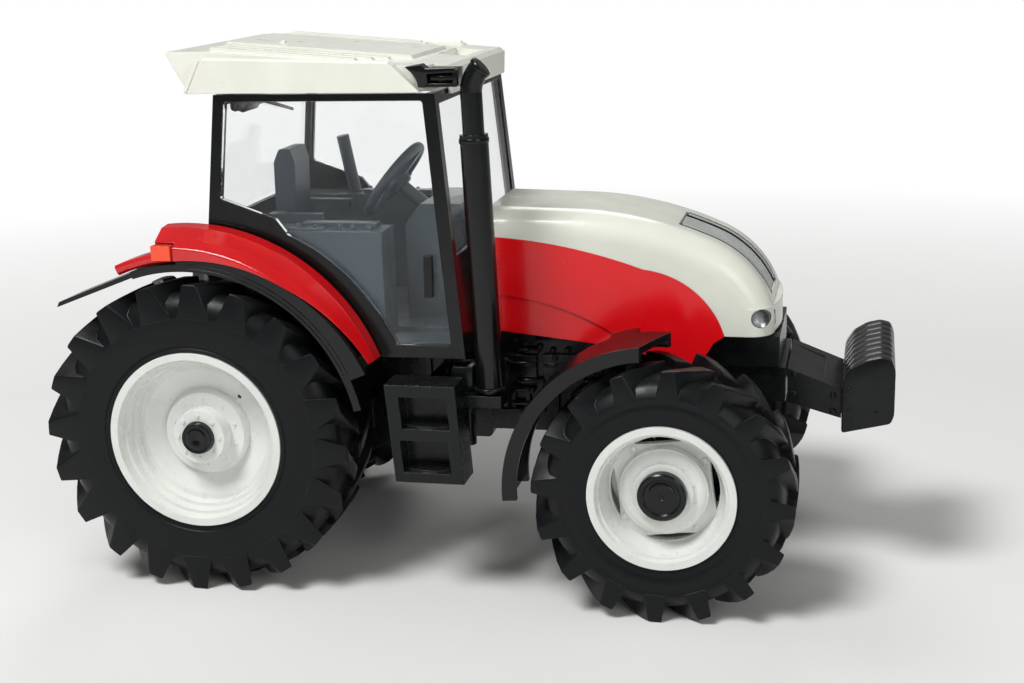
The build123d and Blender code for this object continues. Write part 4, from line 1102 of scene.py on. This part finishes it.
# ---- cab ----
@dataclass(frozen=True)
class CabFittings:
    """Rear wiper, knobs on the consoles, pedals, and small marks on the roof and the liners."""

    wiper_boxes: tuple[Box, ...] = (
        ((-37.0, -20.8, 82.0), (-35.4, -7.2, 85.0), 0.75),
        ((-37.1, -17.6, 81.5), (-35.3, -10.4, 83.5), 0.8))
    wiper_arm: tuple[Point, Point] = ((-36.9, -8.0, 83.0), (-37.0, 9.6, 79.2))
    console_y: float = 20.4  # middle of the side consoles
    console_z: float = 61.8  # a little below their tops
    knobs: tuple[Point, ...] = (  # x, height and radius
        (-29.2, 0.7, 0.5), (-26.0, 1.0, 0.55), (-24.6, 0.6, 0.4), (-23.0, 0.8, 0.4),
        (-18.6, 1.3, 0.5), (-16.3, 0.8, 0.45), (-13.4, 0.6, 0.6))
    pad_x: Flat = (-27.6, -21.4)  # ends of the raised pads of the consoles
    pedals_y: Point = (-4.4, 3.0, 5.6)
    pedal_lean: float = -0.5  # radians
    # low knobs of the roof: x, y, foot and top
    roof_studs: tuple[Four, ...] = (
        (-41.8, 2.6, 92.2212, 92.8712), (-40.4, 2.4, 92.079, 92.9), (-38.6, 2.2, 91.9368, 92.9),
        (-33.2, 11.9, 91.5102, 92.1602), (-32.2, -5.6, 91.4312, 92.9))
    # beads along the roof's edge and on its rear corner: two ends and radius
    beads: tuple[tuple[Point, Point, float], ...] = (
        ((-39.6, 23.35, 91.08), (-7.4, 23.35, 90.14), 0.26),
        ((-39.6, 24.3, 91.08), (-7.4, 24.3, 90.14), 0.26),
        ((-42.75, 24.82, 85.8), (-40.15, 24.82, 90.95), 0.24))
    liner_radii: Flat = (29.72, 30.42)
    liner_ends: Flat = (24, 88)  # degrees up from +X
    # one ridge of a liner: further radius and y
    ridge: Outline = ((0, 32.7), (0.12, 33.08), (0.26, 33.08), (0.38, 32.7))

    def make(self) -> None:
        """Build every fitting."""
        self.wiper()
        self.controls()
        self.roof_marks()
        self.liner_ridges()

    def wiper(self) -> None:
        """Build the wiper's motor and arm behind the rear window's top rail."""
        mould = Mould()
        for box in self.wiper_boxes:
            mould.block(*box)
        mould.stud(*self.wiper_arm, 0.42, 0.1, 0.3, 12)
        mould.piece("rear_wiper", "black_gloss")

    def controls(self) -> None:
        """Build knobs, raised pads and pedals."""
        mould, z, (rear, front) = Mould(), self.console_z, self.pad_x
        for side in Side:
            y = side.value * self.console_y
            for x, height, radius in self.knobs:
                mould.stud((x, y, z), (x, y, z + 0.2 + height), radius, 0.12, radius * 0.7, 14)
            mould.block((rear, y - 1.2, z), (front, y + 1.2, z + 0.55), 0.2)
        lean = Matrix.Rotation(self.pedal_lean, 4, "Y")
        for y in self.pedals_y:
            mould.block((-9.6, y - 0.9, 45.0), (-9.0, y + 0.9, 47.4), 0.15, lean)
        mould.piece("cab_controls", "interior_grey")

    def roof_marks(self) -> None:
        """Build the low knobs and side beads of the roof."""
        mould, beads = Mould(), Mould()
        for x, y, foot, top in self.roof_studs:
            mould.stud((x, y, foot), (x, y, top), 0.62, 0.15, 0.5, 20)
        for start, end, radius in self.beads:
            beads.stud(start, end, radius, sides=12)
        beads.both_sides()
        mould.add(beads)
        mould.piece("roof_marks", "roof_white")

    def liner_ridges(self) -> None:
        """Build the fine ridges on the outer lip of the rear liners."""
        mould = Mould()
        for radius in self.liner_radii:
            section = [(radius + more, y) for more, y in self.ridge]
            mould.bowed(section, REAR_WHEEL.axle, *self.liner_ends, 60)
        mould.both_sides()
        mould.piece("liner_ridges", "black_gloss")


def dress_nodes() -> None:
    """Give every CAD node that stays the finish of its slot."""
    slots = {row["node"]: row["material_slot"] for row in frame["record"]["subparts"]}
    for name, node in frame["nodes"].items():
        node.data.materials.clear()
        node.data.materials.append(MATERIALS[slots[name]])
        log.info("dressed %s with %s", name, slots[name])


def main() -> None:
    """Build the scene."""
    logging.basicConfig(level=logging.INFO, format="%(message)s")
    bpy.context.scene.view_settings.view_transform = "Standard"
    View().make()
    Studio().make()
    MATERIALS.update({slot: finish.material() for slot, finish in FINISHES.items()})
    dress_nodes()
    for wheel in (REAR_WHEEL, FRONT_WHEEL):
        for side in Side:
            wheel.make(side)
    for assembly in (Nose(), FrontWeights(), EngineSides(), StepTreads(), Stack(), CabFittings()):
        assembly.make()


if __name__ == "__main__":
    main()
